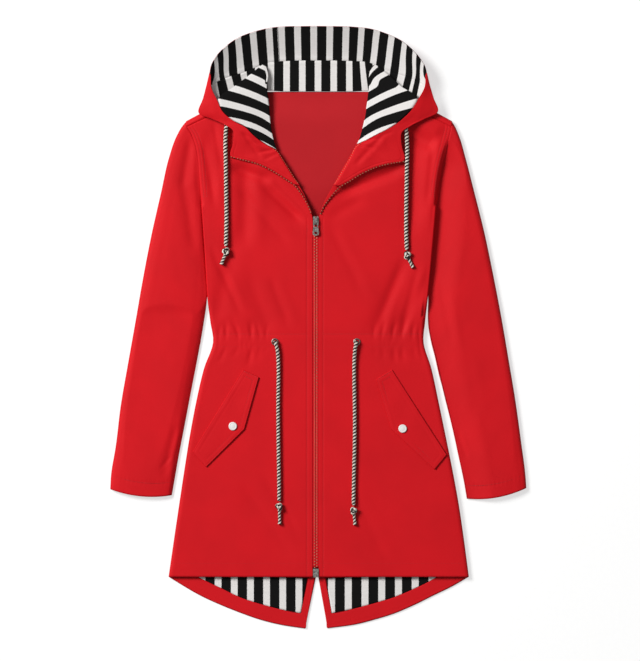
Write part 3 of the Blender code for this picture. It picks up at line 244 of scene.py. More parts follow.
# side linings of the hood, from the front corner to the apex: neck x, y, z; outer x, y, z
LINING_RIGHT = (
    (-68.6, 296.6, 15.4, -84, 303.8, 20),
    (-72.2, 306, 15.4, -103.8, 317.6, 21.4),
    (-76.4, 322, 15.2, -120.4, 334.2, 22.6),
    (-79.4, 342, 15.2, -140.2, 344.6, 24),
    (-81.2, 364, 15.2, -158.6, 361.2, 25.4),
    (-83.6, 385, 15.2, -165.2, 378.6, 26),
    (-85.2, 402, 15, -142, 399, 20.6),
    (-83.2, 420, 14.4, -115, 419.4, 16.4),
    (-86.4, 434, 13.4, -93, 437.4, 13.8),
)
LINING_LEFT = (
    (64.4, 305.6, 15.4, 80, 312.6, 20),
    (68.2, 315, 15.4, 97, 321.4, 21.4),
    (72.4, 329, 15.2, 117, 331.6, 22.6),
    (76.6, 346, 15.2, 139, 347.6, 24),
    (79.8, 366, 15.2, 156.6, 366.2, 25.4),
    (82.2, 386, 15.2, 163.8, 380.6, 26),
    (84.2, 402, 15, 139, 399.8, 20.6),
    (84.4, 420, 14.4, 112, 423.8, 16.4),
    (87.4, 434, 13.4, 93, 437.4, 13.8),
)
# facings, from the hood's pinch to the zip: inner x, y, z; outer x, y, z; share of the rolled lip
FACING_RIGHT = (
    (-178, 418.4, 31.2, -180.6, 422.2, 30.9, 0),
    (-177.4, 399, 29.8, -184.8, 405, 27, 0),
    (-167.6, 377, 27.4, -191.4, 380.4, 22.6, 0),
    (-160, 360.2, 26, -198.7, 357, 19.4, 0),
    (-141.2, 343.4, 24.8, -177, 347, 19.8, 0),
    (-121.4, 332.6, 24.2, -156, 337.6, 22.4, 0),
    (-104.6, 316.4, 22.8, -141.6, 327, 22.8, 0),
    (-84.6, 302.8, 20.8, -141.6, 306, 20, 0),
    (-76, 299, 20.2, -146, 286, 17, 0.3),
    (-67.6, 293.4, 19.6, -122, 279.8, 17.4, 0.7),
    (-59, 281, 19.2, -98, 272.8, 17.8, 1),
    (-48, 263.5, 19, -70, 258.6, 17.8, 1),
    (-38.5, 248, 18.4, -51, 246.4, 17.4, 0.8),
    (-31, 237, 17.8, -39.6, 238.6, 17, 0),
)
FACING_LEFT = (
    (177.4, 418.6, 31.2, 180.2, 422.2, 30.9, 0),
    (176.4, 400, 29.8, 184.4, 405, 27, 0),
    (166, 379.4, 27.4, 191.6, 381, 22.6, 0),
    (157.8, 365.4, 26, 198.8, 359.6, 19.4, 0),
    (140.2, 346.8, 24.8, 176, 346.6, 20.2, 0),
    (117.8, 330.8, 24.2, 154, 335.6, 22.6, 0),
    (97.4, 320.6, 22.8, 138.4, 324, 23.2, 0),
    (80.4, 311.8, 20.8, 138, 305, 21, 0),
    (71, 307.6, 20.2, 142.4, 278, 18.8, 0.3),
    (63.4, 302.8, 19.8, 122, 274.8, 19.6, 0.7),
    (53, 284, 19.6, 98, 268.9, 20, 1),
    (41.5, 264, 19.4, 71, 257, 19.4, 1),
    (32, 248, 18.8, 49, 243.4, 18.4, 0.8),
    (24.6, 236.6, 18.2, 36, 235.8, 17.8, 0),
)
# where each zip half runs on below its facing, down to the slider
ZIP_HALF_END_RIGHT = (
    (-24.5, 219, 16), (-15.6, 203, 15.4), (-10.4, 190.6, 15.2),
)
ZIP_HALF_END_LEFT = (
    (19.4, 218, 16.8), (8.4, 203, 15.8), (2.4, 190.6, 15.2),
)
# outer cloth of the hood's sides: neck x, y, z; outer x, y, z
HOOD_SIDE_RIGHT = (
    (-73, 303, 14, -128, 310, 14.4),
    (-78.4, 324, 14, -131, 331, 15),
    (-81, 344, 14, -147, 346, 15.2),
    (-83, 364, 14, -196.4, 358.2, 16.4),
    (-85.2, 383, 14, -188, 371.6, 17.6),
)
HOOD_SIDE_LEFT = (
    (69, 312, 14, 124, 309, 14.4),
    (74.6, 331, 14, 128, 329, 15),
    (78.6, 348, 14, 146, 345, 15.2),
    (81.8, 366, 14, 196.4, 360.6, 16.4),
    (84.4, 384, 14, 188, 372.6, 17.6),
)
# pocket flaps: the five corners of each, going round
FLAP_RIGHT = ((-124.7, -69), (-99, -81.6), (-123, -168), (-186.5, -231), (-209, -206))
FLAP_LEFT = ((122, -69), (95.7, -85), (121, -168), (193, -235), (213, -210.5))
SNAP_RIGHT = (-142, -163)
SNAP_LEFT = (140, -167)
# eyelets that the waist cords come out of
EYELET_RIGHT = (-72, -23)
EYELET_LEFT = (64, -23)
# half of the tail: x and y of the hem, x and y of the lining's edge
TAIL_RIGHT = (
    (-22, TAIL_Y, -29.4, -474.2),
    (-60, -494.5, -62, -468),
    (-95, -486, -96, -459),
    (-127, -475, -127, -449),
    (-161, -461.5, -160, -433.4),
    (-195, -446, -186, -421),
    (-223.2, -430, -201, -413),
    (-249, -414, -212, -404),
)
TAIL_LEFT = (
    (15.4, -499.8, 22.6, -474.2),
    (60, -493.8, 58, -467),
    (95, -485, 92, -458),
    (127, -475, 124, -448.4),
    (161, -460.4, 154, -436),
    (190, -446, 182, -422.6),
    (222, -430.4, 198, HEM_Y),
    (250.4, -414, 211, -404),
)
# where the vent meets the front hem: x of the cloth's edge, x of the lining's edge
VENT_RIGHT = (-3.9, -15.6)
VENT_LEFT = (0.2, 10.4)
VENT_APEX = (-1.8, VENT_TOP_Y)

# cord routes: x, y, z; the last rows are the free tail below the knot
HOOD_CORD_RIGHT = (
    (-151.6, 338, 16.6), (-153.2, 329, 16.6), (-154, 314, 16.8), (-154, 294, 16.9),
    (-153.4, 270, 16.8), (-153, 240, 16.6), (-152.6, 210, 16.4), (-152.4, 180, 16.3),
    (-152.8, 155, 16.2), (-153.2, 136, 16.4),
)
HOOD_CORD_LEFT = (
    (145, 332, 16.6), (146.6, 323, 16.6), (147.4, 308, 16.8), (147.6, 288, 16.9),
    (147, 262, 16.8), (146.6, 234, 16.6), (146.2, 204, 16.4), (146, 176, 16.3),
    (146.2, 150, 16.2), (147, 130, 16.4),
)
WAIST_CORD_RIGHT = (
    (-71.4, -21, 17.3), (-70, -27.5, 17.3), (-67.8, -37, 16.8), (-66.6, -50, 16),
    (-66, -68, 15.6),
    (-66.2, -95, 15.6), (-66.6, -130, 15.6), (-66.4, -165, 15.6), (-66, -200, 15.6),
    (-65.4, -235, 15.5), (-65, -265, 15.4), (-65, -287, 15.6),
)
WAIST_CORD_LEFT = (
    (63.6, -21, 17.3), (62.4, -27.5, 17.3), (60.8, -37, 16.8), (60, -50, 16),
    (59.6, -68, 15.6),
    (59.8, -95, 15.6), (60.4, -130, 15.6), (60.6, -165, 15.6), (60.2, -200, 15.6),
    (59.4, -238, 15.5), (58.8, -272, 15.4), (58.5, -294, 15.6),
)
# knots: x, y, z, radius
HOOD_KNOT_RIGHT = (
    (-153.3, 134.6, 16.8, 4.4), (-153, 130, 18.4, 6.2), (-153.2, 124, 18.2, 6),
    (-155.4, 119.4, 16.6, 3.6), (-158.4, 112, 16, 3.3), (-160.8, 105.5, 15.8, 3),
)
HOOD_KNOT_LEFT = (
    (147.1, 128.6, 16.8, 4.4), (147.4, 124, 18.4, 6.2), (148, 118, 18.2, 6),
    (150.6, 113.6, 16.6, 3.6), (153.8, 107, 16, 3.3), (156.8, 100.6, 15.8, 3),
)
WAIST_KNOT_RIGHT = (
    (-65, -288.6, 16, 4.2), (-65, -293.4, 17.6, 5.8), (-64.8, -299.4, 17.4, 5.6),
    (-64.6, -304.4, 15.6, 3.4), (-64.3, -314, 15, 3.1), (-64, -325.6, 14.8, 2.8),
)
WAIST_KNOT_LEFT = (
    (58.5, -295.6, 16, 4.2), (58.5, -300.4, 17.6, 5.8), (58.8, -306.2, 17.4, 5.6),
    (59.4, -311, 15.6, 3.4), (60.2, -318, 15, 3.1), (61, -326.6, 14.8, 2.8),
)


def lerp(a, b, t):
    return a + (b - a) * t


def between(p, q, t):
    """Point at a share of the way from p to q."""
    return tuple(lerp(a, b, t) for a, b in zip(p, q))


def uneven(x, y, z):
    """Slow random height, -1 to 1, the same every time for the same place."""
    return noise.noise(Vector((x, y, z)))


def smoothstep(t):
    t = min(max(t, 0), 1)
    return t * t * (3 - 2 * t)


def hermite(t, span, a, b, slope_a, slope_b):
    """Cubic from a to b with given slopes at its ends; t runs from 0 to 1 over the span."""
    square, cube = t * t, t * t * t
    return ((2 * cube - 3 * square + 1) * a + (cube - 2 * square + t) * span * slope_a
            + (3 * square - 2 * cube) * b + (cube - square) * span * slope_b)


def table_at(table, key, column):
    """Value of one column of a table whose first column rises, on a smooth curve through its rows."""
    rows = len(table)
    low = 0
    while low < rows - 2 and table[low + 1][0] <= key:
        low += 1
    a, b = table[low], table[low + 1]
    span = b[0] - a[0]
    t = min(max((key - a[0]) / span, 0), 1)
    slope = (b[column] - a[column]) / span

    def tangent(row):
        if row == 0 or row == rows - 1:
            return slope
        before, after = table[row - 1], table[row + 1]
        return (after[column] - before[column]) / (after[0] - before[0])

    return hermite(t, span, a[column], b[column], tangent(low), tangent(low + 1))


def along(rows, place):
    """Point on the smooth curve through rows of numbers; place counts rows, from 0."""
    last = len(rows) - 1
    low = min(int(place), last - 1)
    t = place - low
    p1, p2 = rows[low], rows[low + 1]
    p0 = rows[low - 1] if low > 0 else p1
    p3 = rows[low + 2] if low + 2 <= last else p2
    return tuple(
        0.5 * (2 * b + (c - a) * t + (2 * a - 5 * b + 4 * c - d) * t * t
               + (3 * b - a - 3 * c + d) * t * t * t)
        for a, b, c, d in zip(p0, p1, p2, p3))


def rounded(share):
    """Height of a rounded edge, 0 to 1, at a share of its radius in from the edge."""
    share = min(max(share, 0), 1)
    power = 2.4
    return (1 - (1 - share) ** power) ** (1 / power)


# ---- height of the fronts

def outer_x(y, side):
    """Outline of the body and the armhole: side 1 is the right column, 2 the left."""
    if y <= ARMHOLE[0][0]:
        return table_at(BODY_SIDE, y, side)
    return table_at(ARMHOLE, y, side)


def edge_height(y):
    """Height of the fronts' outer edge: low along the side seam, on top along the armhole."""
    if y < ARMHOLE[0][0]:
        return SIDE_SEAM_Z
    return table_at(ARMHOLE, y, 3)


def gather_depth(x, y, gathers):
    """Sum of the creases that the waist cord draws in."""
    total = 0
    channel_top, channel_foot = WAIST_Y + 11, WAIST_Y - 11
    for top_x, top_y, upper_x, lower_x, foot_x, foot_y, depth, half in gathers:
        if y > channel_top:
            t = (y - channel_top) / (top_y - channel_top)
            centre = lerp(upper_x, top_x, t)
        elif y > channel_foot:
            t = 0
            centre = lerp(lower_x, upper_x, (y - channel_foot) / (channel_top - channel_foot))
        else:
            t = (channel_foot - y) / (channel_foot - foot_y)
            centre = lerp(lower_x, foot_x, t)
        if t < 1:
            spread = half * (1 + t)
            total += depth * (1 - smoothstep(t)) * math.exp(-((x - centre) / spread) ** 2)
    return total


def trough_depth(x, y, troughs, past, fading, ridge_share=0):
    """Depth of straight soft troughs that fade out past their ends, each with a low ridge beside it."""
    total = 0
    for x0, y0, x1, y1, half, depth in troughs:
        run_x, run_y = x1 - x0, y1 - y0
        length = math.hypot(run_x, run_y)
        t = ((x - x0) * run_x + (y - y0) * run_y) / length ** 2
        if -past < t < 1 + past:
            off = ((x - x0) * run_y - (y - y0) * run_x) / length
            fade = smoothstep((t + past) / fading) * smoothstep((1 + past - t) / fading)
            ridge = ridge_share * math.exp(-((off + 2 * half) / half) ** 2)
            total += depth * fade * (math.exp(-(off / half) ** 2) - ridge)
    return total


def front_height(x, y):
    """Top of the fronts above the floor."""
    side = 1 if x < 0 else 2
    outer = abs(outer_x(y, side))
    crown = table_at(LOFT, y, 1) - 0.9 * (x / outer) ** 2
    crown -= gather_depth(x, y, GATHERS_RIGHT if x < 0 else GATHERS_LEFT)
    crown -= trough_depth(x, y, FOLDS, 0.3, 0.5)
    edge = edge_height(y)
    return edge + (crown - edge) * rounded((outer - abs(x)) / ROLL)


# ---- camera

PICTURE = (640, 661)             # the photograph, in pixels
MM_PER_PIXEL = 1.661
AIM = (2.8, -4.15, 12)         # what the middle of the picture shows
LENS = 200
SENSOR = 36


def make_camera():
    data = bpy.data.cameras.new("camera")
    data.lens = LENS
    data.sensor_width = SENSOR
    camera = bpy.data.objects.new("camera", data)
    bpy.context.collection.objects.link(camera)
    distance = max(PICTURE) * MM_PER_PIXEL * LENS / SENSOR
    camera.location = (AIM[0] * MM, AIM[1] * MM, (AIM[2] + distance) * MM)
    data.clip_start, data.clip_end = 0.1, 40
    bpy.context.scene.camera = camera


# ---- materials

def new_material(name, colour, roughness, metallic=0):
    made = bpy.data.materials.new(name)
    made.use_nodes = True
    shader = made.node_tree.nodes["Principled BSDF"]
    shader.inputs["Base Color"].default_value = (*colour, 1)
    shader.inputs["Roughness"].default_value = roughness
    shader.inputs["Metallic"].default_value = metallic
    return made, made.node_tree, shader


def math_node(tree, operation, a, b=None):
    node = tree.nodes.new("ShaderNodeMath")
    node.operation = operation
    for socket, value in zip(node.inputs, (a, b)):
        if value is None:
            continue
        if isinstance(value, (int, float)):
            socket.default_value = value
        else:
            tree.links.new(value, socket)
    return node.outputs[0]


def uv_axes(tree):
    """The piece's own flat coordinates in millimetres: along u and along v."""
    place = tree.nodes.new("ShaderNodeUVMap")
    place.uv_map = "flat"
    split = tree.nodes.new("ShaderNodeSeparateXYZ")
    tree.links.new(place.outputs[0], split.inputs[0])
    return split.outputs[0], split.outputs[1], place.outputs[0]


def weave(tree, u, v, pitch):
    """Height of a plain weave of a given thread pitch, 0 to 1."""
    turn = 2 * math.pi / pitch
    over = math_node(tree, "SINE", math_node(tree, "MULTIPLY", u, turn))
    under = math_node(tree, "SINE", math_node(tree, "MULTIPLY", v, turn))
    product = math_node(tree, "MULTIPLY", over, under)
    return math_node(tree, "MULTIPLY_ADD", product, 0.5)


def noise_node(tree, vector, scale, detail):
    node = tree.nodes.new("ShaderNodeTexNoise")
    node.inputs["Scale"].default_value = scale
    node.inputs["Detail"].default_value = detail
    tree.links.new(vector, node.inputs["Vector"])
    return node.outputs["Fac"]


def bump_chain(tree, shader, heights):
    """Bumps one after another; each is a height socket and its size in metres."""
    normal = None
    for height, size in heights:
        bump = tree.nodes.new("ShaderNodeBump")
        bump.inputs["Strength"].default_value = 1
        bump.inputs["Distance"].default_value = size
        tree.links.new(height, bump.inputs["Height"])
        if normal:
            tree.links.new(normal, bump.inputs["Normal"])
        normal = bump.outputs[0]
    tree.links.new(normal, shader.inputs["Normal"])


def shade(colour, factor):
    return tuple(factor * c for c in colour)


def object_place(tree):
    """The piece's own place, in metres."""
    return tree.nodes.new("ShaderNodeTexCoord").outputs["Object"]


def mix_colours(tree, share, first, second):
    node = tree.nodes.new("ShaderNodeMix")
    node.data_type = "RGBA"
    tree.links.new(share, node.inputs[0])
    for socket, colour in ((node.inputs[6], first), (node.inputs[7], second)):
        if isinstance(colour, tuple):
            socket.default_value = (*colour, 1)
        else:
            tree.links.new(colour, socket)
    return node.outputs[2]


def ramp(tree, value, low, high, end="From"):
    """Map from low to high onto 0 to 1, or with end "To" from 0 to 1 onto low to high."""
    node = tree.nodes.new("ShaderNodeMapRange")
    tree.links.new(value, node.inputs["Value"])
    node.inputs[end + " Min"].default_value = low
    node.inputs[end + " Max"].default_value = high
    return node.outputs[0]


def shell_cloth(name, colour, dark):
    """Coated woven cloth: fine plain weave, faint slubs and slow changes of tone."""
    made, tree, shader = new_material(name, colour, 0.62)
    u, v, flat = uv_axes(tree)
    slow = ramp(tree, noise_node(tree, flat, 0.012, 3), 0.35, 0.68)
    mottle = ramp(tree, noise_node(tree, flat, 0.35, 4), 0.3, 0.75)
    tone = mix_colours(tree, slow, colour, dark)
    fleck = shade(colour, 0.93)
    share = math_node(tree, "MULTIPLY", mottle, 0.35)
    tree.links.new(mix_colours(tree, share, tone, fleck), shader.inputs["Base Color"])
    tree.links.new(ramp(tree, mottle, 0.56, 0.70, "To"), shader.inputs["Roughness"])
    shader.inputs["Specular IOR Level"].default_value = 0.12
    threads = weave(tree, u, v, 0.9)
    slubs = noise_node(tree, flat, 0.9, 3)
    bump_chain(tree, shader, ((slubs, 0.00010), (threads, 0.00005)))
    return made


def striped_cloth():
    """Jersey lining with even stripes; the piece's u counts stripes, v is millimetres along them."""
    made, tree, shader = new_material("striped_lining", WHITE, 0.85)
    u, _, flat = uv_axes(tree)
    shift = ramp(tree, noise_node(tree, flat, 0.6, 2), -0.018, 0.018, "To")
    place = math_node(tree, "ADD", u, shift)
    wave = math_node(tree, "PINGPONG", place, 0.5)
    dark = ramp(tree, wave, 0.302, 0.286)
    grain = ramp(tree, noise_node(tree, flat, 1.4, 5), 0.3, 0.7)
    pale = mix_colours(tree, grain, WHITE, shade(WHITE, 0.9))
    deep = mix_colours(tree, grain, BLACK, shade(BLACK, 1.5))
    tree.links.new(mix_colours(tree, dark, pale, deep), shader.inputs["Base Color"])
    shader.inputs["Specular IOR Level"].default_value = 0.08
    ribs = math_node(tree, "SINE",
                     math_node(tree, "MULTIPLY", u, 2 * math.pi * STRIPE_WIDTH / 1.1))
    bump_chain(tree, shader, ((grain, 0.00012), (ribs, 0.00006)))
    return made


BRAID_PITCH = 5.6        # from one light strand to the next along the cord, in millimetres
BRAID_STRANDS = 2      # light strands that wind side by side


def braided_cord():
    """Round braid: light strands wind over dark ones; u is turns round, v is millimetres along."""
    made, tree, shader = new_material("braid", (0.2, 0.19, 0.17), 0.8)
    u, v, flat = uv_axes(tree)
    lengthwise = math_node(tree, "MULTIPLY", v, 2 * math.pi / BRAID_PITCH)
    around = math_node(tree, "MULTIPLY", u, 2 * math.pi * BRAID_STRANDS)
    one = math_node(tree, "SINE", math_node(tree, "SUBTRACT", lengthwise, around))
    two = math_node(tree, "SINE", math_node(tree, "ADD", lengthwise, around))
    crossed = math_node(tree, "MULTIPLY", two, 0.25)
    cells = math_node(tree, "ADD", one, crossed)
    light = ramp(tree, cells, 0, 0.2)
    tone = ramp(tree, noise_node(tree, flat, 0.8, 3), 0.35, 0.65)
    pale = mix_colours(tree, tone, (0.74, 0.70, 0.63), (0.52, 0.48, 0.42))
    deep = mix_colours(tree, tone, (0.008, 0.008, 0.008), (0.03, 0.026, 0.024))
    tree.links.new(mix_colours(tree, light, deep, pale), shader.inputs["Base Color"])
    shader.inputs["Specular IOR Level"].default_value = 0.1
    fibres = noise_node(tree, flat, 6, 3)
    bump_chain(tree, shader, ((fibres, 0.00015),))
    return made


def thread(name, colour):
    """Sewing thread."""
    made, tree, shader = new_material(name, colour, 0.7)
    shader.inputs["Sheen Weight"].default_value = 0.2
    fine = noise_node(tree, object_place(tree), 2500, 2)
    tree.links.new(mix_colours(tree, fine, shade(colour, 0.8), colour),
                   shader.inputs["Base Color"])
    bump_chain(tree, shader, ((fine, 0.00005),))
    return made


def metal(name, colour, roughness, tone_and_painted_reflection):
    """Plated metal with fine scratches and cloudy patches of a second tone; where that tone is near black,
    as on the slider, the patches are painted reflection.
    """
    made, tree, shader = new_material(name, colour, roughness, 1)
    place = object_place(tree)
    cloudy = ramp(tree, noise_node(tree, place, 450, 4), 0.3, 0.7)
    fine = noise_node(tree, place, 2600, 2)
    tree.links.new(mix_colours(tree, cloudy, colour, tone_and_painted_reflection), shader.inputs["Base Color"])
    tree.links.new(ramp(tree, fine, roughness - 0.06, roughness + 0.10, "To"),
                   shader.inputs["Roughness"])
    bump_chain(tree, shader, ((fine, 0.00003),))
    return made


def enamel():
    made, tree, shader = new_material("stud_enamel", (0.80, 0.79, 0.77), 0.28)
    cloudy = noise_node(tree, object_place(tree), 300, 3)
    tree.links.new(mix_colours(tree, cloudy, (0.82, 0.81, 0.79), (0.74, 0.73, 0.71)),
                   shader.inputs["Base Color"])
    tree.links.new(ramp(tree, cloudy, 0.22, 0.34, "To"), shader.inputs["Roughness"])
    shader.inputs["Coat Weight"].default_value = 0.3
    return made


def make_materials():
    return {
        "shell": shell_cloth("shell_cloth", RED, shade(RED, 0.90)),
        # wrong side of the cloth: its own darker red plus painted shade
        "inside": shell_cloth("shell_inside_and_shade", INSIDE_RED_AND_SHADE, shade(INSIDE_RED_AND_SHADE, 0.92)),
        "tape": shell_cloth("zip_tape", (0.60, 0.0075, 0.0125), (0.50, 0.0065, 0.0105)),
        # tape of the open zip halves: a darker copy of the red cloth, painted shade along the turned-out
        # lapel edges
        "edge_tape_painted_shade": shell_cloth("zip_edge_tape", (0.46, 0.007, 0.011), (0.32, 0.006, 0.009)),
        "lining": striped_cloth(),
        "braid": braided_cord(),
        "thread": thread("red_thread", (0.36, 0.008, 0.012)),
        "gold_thread": thread("gold_thread", (0.60, 0.30, 0.16)),
        "teeth": metal("zip_teeth", (0.98, 0.68, 0.47), 0.45, (0.70, 0.38, 0.24)),
        # teeth of the open halves: a darker copy of the chain teeth's metal, painted shade that makes them
        # look dim
        "half_teeth_painted_shade": metal("zip_half_teeth", (0.60, 0.34, 0.22), 0.45, (0.62, 0.30, 0.18)),
        # near-black cloudy patches on the silver slider: painted reflection
        "slider": metal("zip_slider_metal", (0.92, 0.89, 0.84), 0.30, (0.12, 0.12, 0.11)),
        "stud": enamel(),
        "eyelet": metal("eyelet_metal", (0.40, 0.38, 0.35), 0.36, (0.14, 0.13, 0.12)),
    }


# ---- making meshes

def add_piece(name, points, faces, materials, slots=None, flats=None):
    """A mesh piece from points in millimetres; flats are the points' flat coordinates."""
    mesh = bpy.data.meshes.new(name)
    mesh.from_pydata([(x * MM, y * MM, z * MM) for x, y, z in points], [], faces)
    for material in materials:
        mesh.materials.append(material)
    if slots:
        mesh.polygons.foreach_set("material_index", slots)
    if flats:
        layer = mesh.uv_layers.new(name="flat")
        values = []
        for loop in mesh.loops:
            values += flats[loop.vertex_index]
        layer.data.foreach_set("uv", values)
    mesh.shade_smooth()
    mesh.validate()
    made = bpy.data.objects.new(name, mesh)
    bpy.context.collection.objects.link(made)
    return made


def is_upside_down(points, faces, outside):
    """Whether the faces look away from the side that is the piece's outside."""
    middle = Vector((0, 0, 0))
    if outside == "tube":
        for point in points:
            middle += Vector(point) / len(points)
    total = 0
    for face in faces[::7]:
        a, b, c = (Vector(points[k]) for k in face[:3])
        normal = (b - a).cross(c - b)
        away = a - middle if outside == "tube" else Vector((0, 0, 1))
        total += normal.dot(away)
    return (total < 0) != (outside == "down")


def quads(base, rows, wide):
    """Faces of a grid of points that starts at point number base."""
    corners = [base + j * wide + i for j in range(rows - 1) for i in range(wide - 1)]
    return [(a, a + 1, a + wide + 1, a + wide) for a in corners]


def tube_walls(base, rings, sides):
    """Faces between closed rings of points, the first of which starts at point number base."""
    faces = []
    for ring in range(rings - 1):
        start = base + ring * sides
        for k in range(sides):
            a, b = start + k, start + (k + 1) % sides
            faces.append((a, b, b + sides, a + sides))
    return faces


def thicken(made, thickness):
    """Wall a sheet inwards, with its inside's own material."""
    wall = made.modifiers.new("wall", "SOLIDIFY")
    wall.thickness = thickness * MM
    wall.offset = -1
    wall.material_offset = 1
    wall.material_offset_rim = 0


def finish_piece(made, node):
    """The piece belongs to the garment and stands for one of its solids."""
    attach(made, "garment")
    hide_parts(node)


def sheet_piece(name, node, grid, flats, thickness, outer, inner, outside="up"):
    """Cloth: a grid of points on its outside, walled inwards, in the place of a solid."""
    points = [p for row in grid for p in row]
    flat_list = [f for row in flats for f in row]
    faces = quads(0, len(grid), len(grid[0]))
    if is_upside_down(points, faces, outside):
        faces = [face[::-1] for face in faces]
    made = add_piece(name, points, faces, [outer, inner], flats=flat_list)
    thicken(made, thickness)
    finish_piece(made, node)


def running_length(line):
    """How far along a line each of its points is."""
    runs = [0]
    for a, b in zip(line, line[1:]):
        runs.append(runs[-1] + math.dist(a, b))
    return runs


def flat_sizes(grid):
    """Flat coordinates of a grid, in millimetres: along its rows and along its middle column."""
    middle = len(grid[0]) // 2
    flats, high = [], 0
    for j, row in enumerate(grid):
        if j:
            high += math.dist(row[middle], grid[j - 1][middle])
        runs = running_length(row)
        flats.append([(run - runs[middle], high) for run in runs])
    return flats


def spread(low, high, step):
    """Evenly spaced numbers from low to high, about a step apart."""
    count = max(1, math.ceil(abs(high - low) / step))
    return [low + (high - low) * k / count for k in range(count + 1)]


# ---- cords

CORD_SIDES = 30
BRAID_STEP = 0.75      # rings along a cord, in millimetres


def fine_route(route, step):
    """Points a step apart on the smooth curve through a given route."""
    dense = [along(route, k / 24) for k in range(24 * (len(route) - 1) + 1)]
    length = sum(math.dist(a, b) for a, b in zip(dense, dense[1:]))
    count = max(4, round(length / step))
    picked, walked, wanted = [dense[0]], 0, length / count
    for a, b in zip(dense, dense[1:]):
        stretch = math.dist(a, b)
        while walked + stretch >= wanted * len(picked) - 1e-9 and len(picked) < count:
            t = (wanted * len(picked) - walked) / stretch
            picked.append(between(a, b, t))
        walked += stretch
    return picked + [dense[-1]], length


def braided_tube(name, route, radius_at, material):
    """Round braided cord: rings of points along a route, raised along its winding strands."""
    count = len(route)
    points, flats = [], []
    run = 0
    side = Vector((1, 0, 0))
    for k, centre in enumerate(route):
        here = Vector(centre)
        ahead = Vector(route[min(k + 1, count - 1)]) - Vector(route[max(k - 1, 0)])
        ahead.normalize()
        side = (side - ahead * side.dot(ahead)).normalized()
        up = ahead.cross(side)
        if k:
            run += math.dist(centre, route[k - 1])
        radius = radius_at(run, k / (count - 1))
        for i in range(CORD_SIDES + 1):
            turn = i / CORD_SIDES
            one = math.sin(math.pi * (BRAID_STRANDS * turn + run / BRAID_PITCH))
            two = math.sin(math.pi * (BRAID_STRANDS * turn - run / BRAID_PITCH))
            out = radius * (0.965 + 0.05 * max(abs(one), abs(two)))
            angle = 2 * math.pi * turn
            points.append(tuple(here + out * (math.cos(angle) * side + math.sin(angle) * up)))
            flats.append((turn, run))
    ring = CORD_SIDES + 1
    faces = quads(0, count, ring)
    for row, step in ((0, -1), (count - 1, 1)):
        centre = len(points)
        points.append(tuple(route[row]))
        flats.append((0.5, run if row else 0))
        for i in range(CORD_SIDES):
            a, b = row * ring + i, row * ring + i + 1
            faces.append((a, b, centre) if step > 0 else (b, a, centre))
    return add_piece(name, points, faces, [material], flats=flats)


def knot_route(centre, width, height, depth, lean):
    """Overhand knot: a trefoil squeezed to its size."""
    route = []
    turns = 96
    for k in range(turns + 1):
        t = 2 * math.pi * k / turns
        x = math.sin(t) + 2 * math.sin(2 * t)
        y = math.cos(t) - 2 * math.cos(2 * t)
        z = -math.sin(3 * t)
        px, py = x / 3 * width, y / 3 * height
        route.append((centre[0] + px * math.cos(lean) - py * math.sin(lean),
                      centre[1] + px * math.sin(lean) + py * math.cos(lean),
                      centre[2] + z * depth))
    return route


def cord_and_knot(place, side, route, knot, diameter, material):
    """A drawstring that comes out of its opening, ends in a knot and a short loose tail."""
    label = place + "_cord_" + side
    rings, length = fine_route(route, BRAID_STEP)
    half = diameter / 2

    def radius(run, share):
        pressed = 0.10 * smoothstep((share - 0.97) / 0.03)
        return half * (1 - pressed)

    cord = braided_tube(label + "_braid", rings, radius, material)
    finish_piece(cord, label)

    middle = tuple((a + b) / 2 for a, b in zip(knot[1][:3], knot[2][:3]))
    size = knot[1][3]
    lean = math.radians(18 if side == "right" else -24)
    strand = 0.46 * size
    loops = knot_route((middle[0], middle[1], middle[2] - 0.9), 0.66 * size, 0.78 * size,
                       0.30 * size, lean)
    bulge = braided_tube(place + "_knot_" + side + "_loops", loops, lambda run, share: strand, material)
    finish_piece(bulge, place + "_knot_" + side)

    tail_rows = [(middle[0], middle[1], middle[2] - 1)] + [row[:3] for row in knot[3:]]
    tail, _ = fine_route(tail_rows, BRAID_STEP)
    thin, wide = 0.80 * knot[4][3], 1.06 * knot[4][3]

    def tail_radius(run, share):
        frayed = smoothstep((share - 0.80) / 0.2)
        return lerp(thin, wide, frayed)

    end = braided_tube(place + "_knot_" + side + "_tail", tail, tail_radius, material)
    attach(end, "garment")


def make_cords(material):
    cord_and_knot("hood", "right", HOOD_CORD_RIGHT, HOOD_KNOT_RIGHT, CORD_D, material)
    cord_and_knot("hood", "left", HOOD_CORD_LEFT, HOOD_KNOT_LEFT, CORD_D, material)
    cord_and_knot("waist", "right", WAIST_CORD_RIGHT, WAIST_KNOT_RIGHT, WAIST_CORD_D, material)
    cord_and_knot("waist", "left", WAIST_CORD_LEFT, WAIST_KNOT_LEFT, WAIST_CORD_D, material)


# ---- fronts

HEM_STITCH_Y = -391
CHANNEL_STITCHES = (-10, -31)
ZIP_STITCH = (9.4, 7.3)          # from the front's inner edge: right, left
ARMHOLE_STITCHES = (5.2, 10.5)   # in from the armhole seam
GROOVE = 0.30                    # how far a row of stitches sinks in


GATHERS_FAR = 0.24       # share of the waist's creases left away from the channel
GATHERS_NEAR = 0.76      # added to it at the channel


def ripples(x, y):
    """Small uneven puckers of the gathered waist, fading above and below the channel."""
    reach = abs(abs(x) - 130) / 48
    if reach >= 1:
        return 0
    across = 1 - smoothstep(reach)
    down = math.exp(-((y - WAIST_Y) / 22) ** 2)
    sway = 12 * uneven(x * 0.03, y * 0.03, 3.1)
    strong = 0.03 + 0.15 * uneven(x * 0.05, y * 0.05, 9.4)
    return strong * across * down * math.sin((x + sway) * 2 * math.pi / 9.5)


def softness(x, y):
    """Slow unevenness of cloth that lies loose."""
    wide = uneven(x * 0.010, y * 0.006, 1.7)
    small = uneven(x * 0.034, y * 0.020, 7.3)
    return 0.45 * wide + 0.10 * small


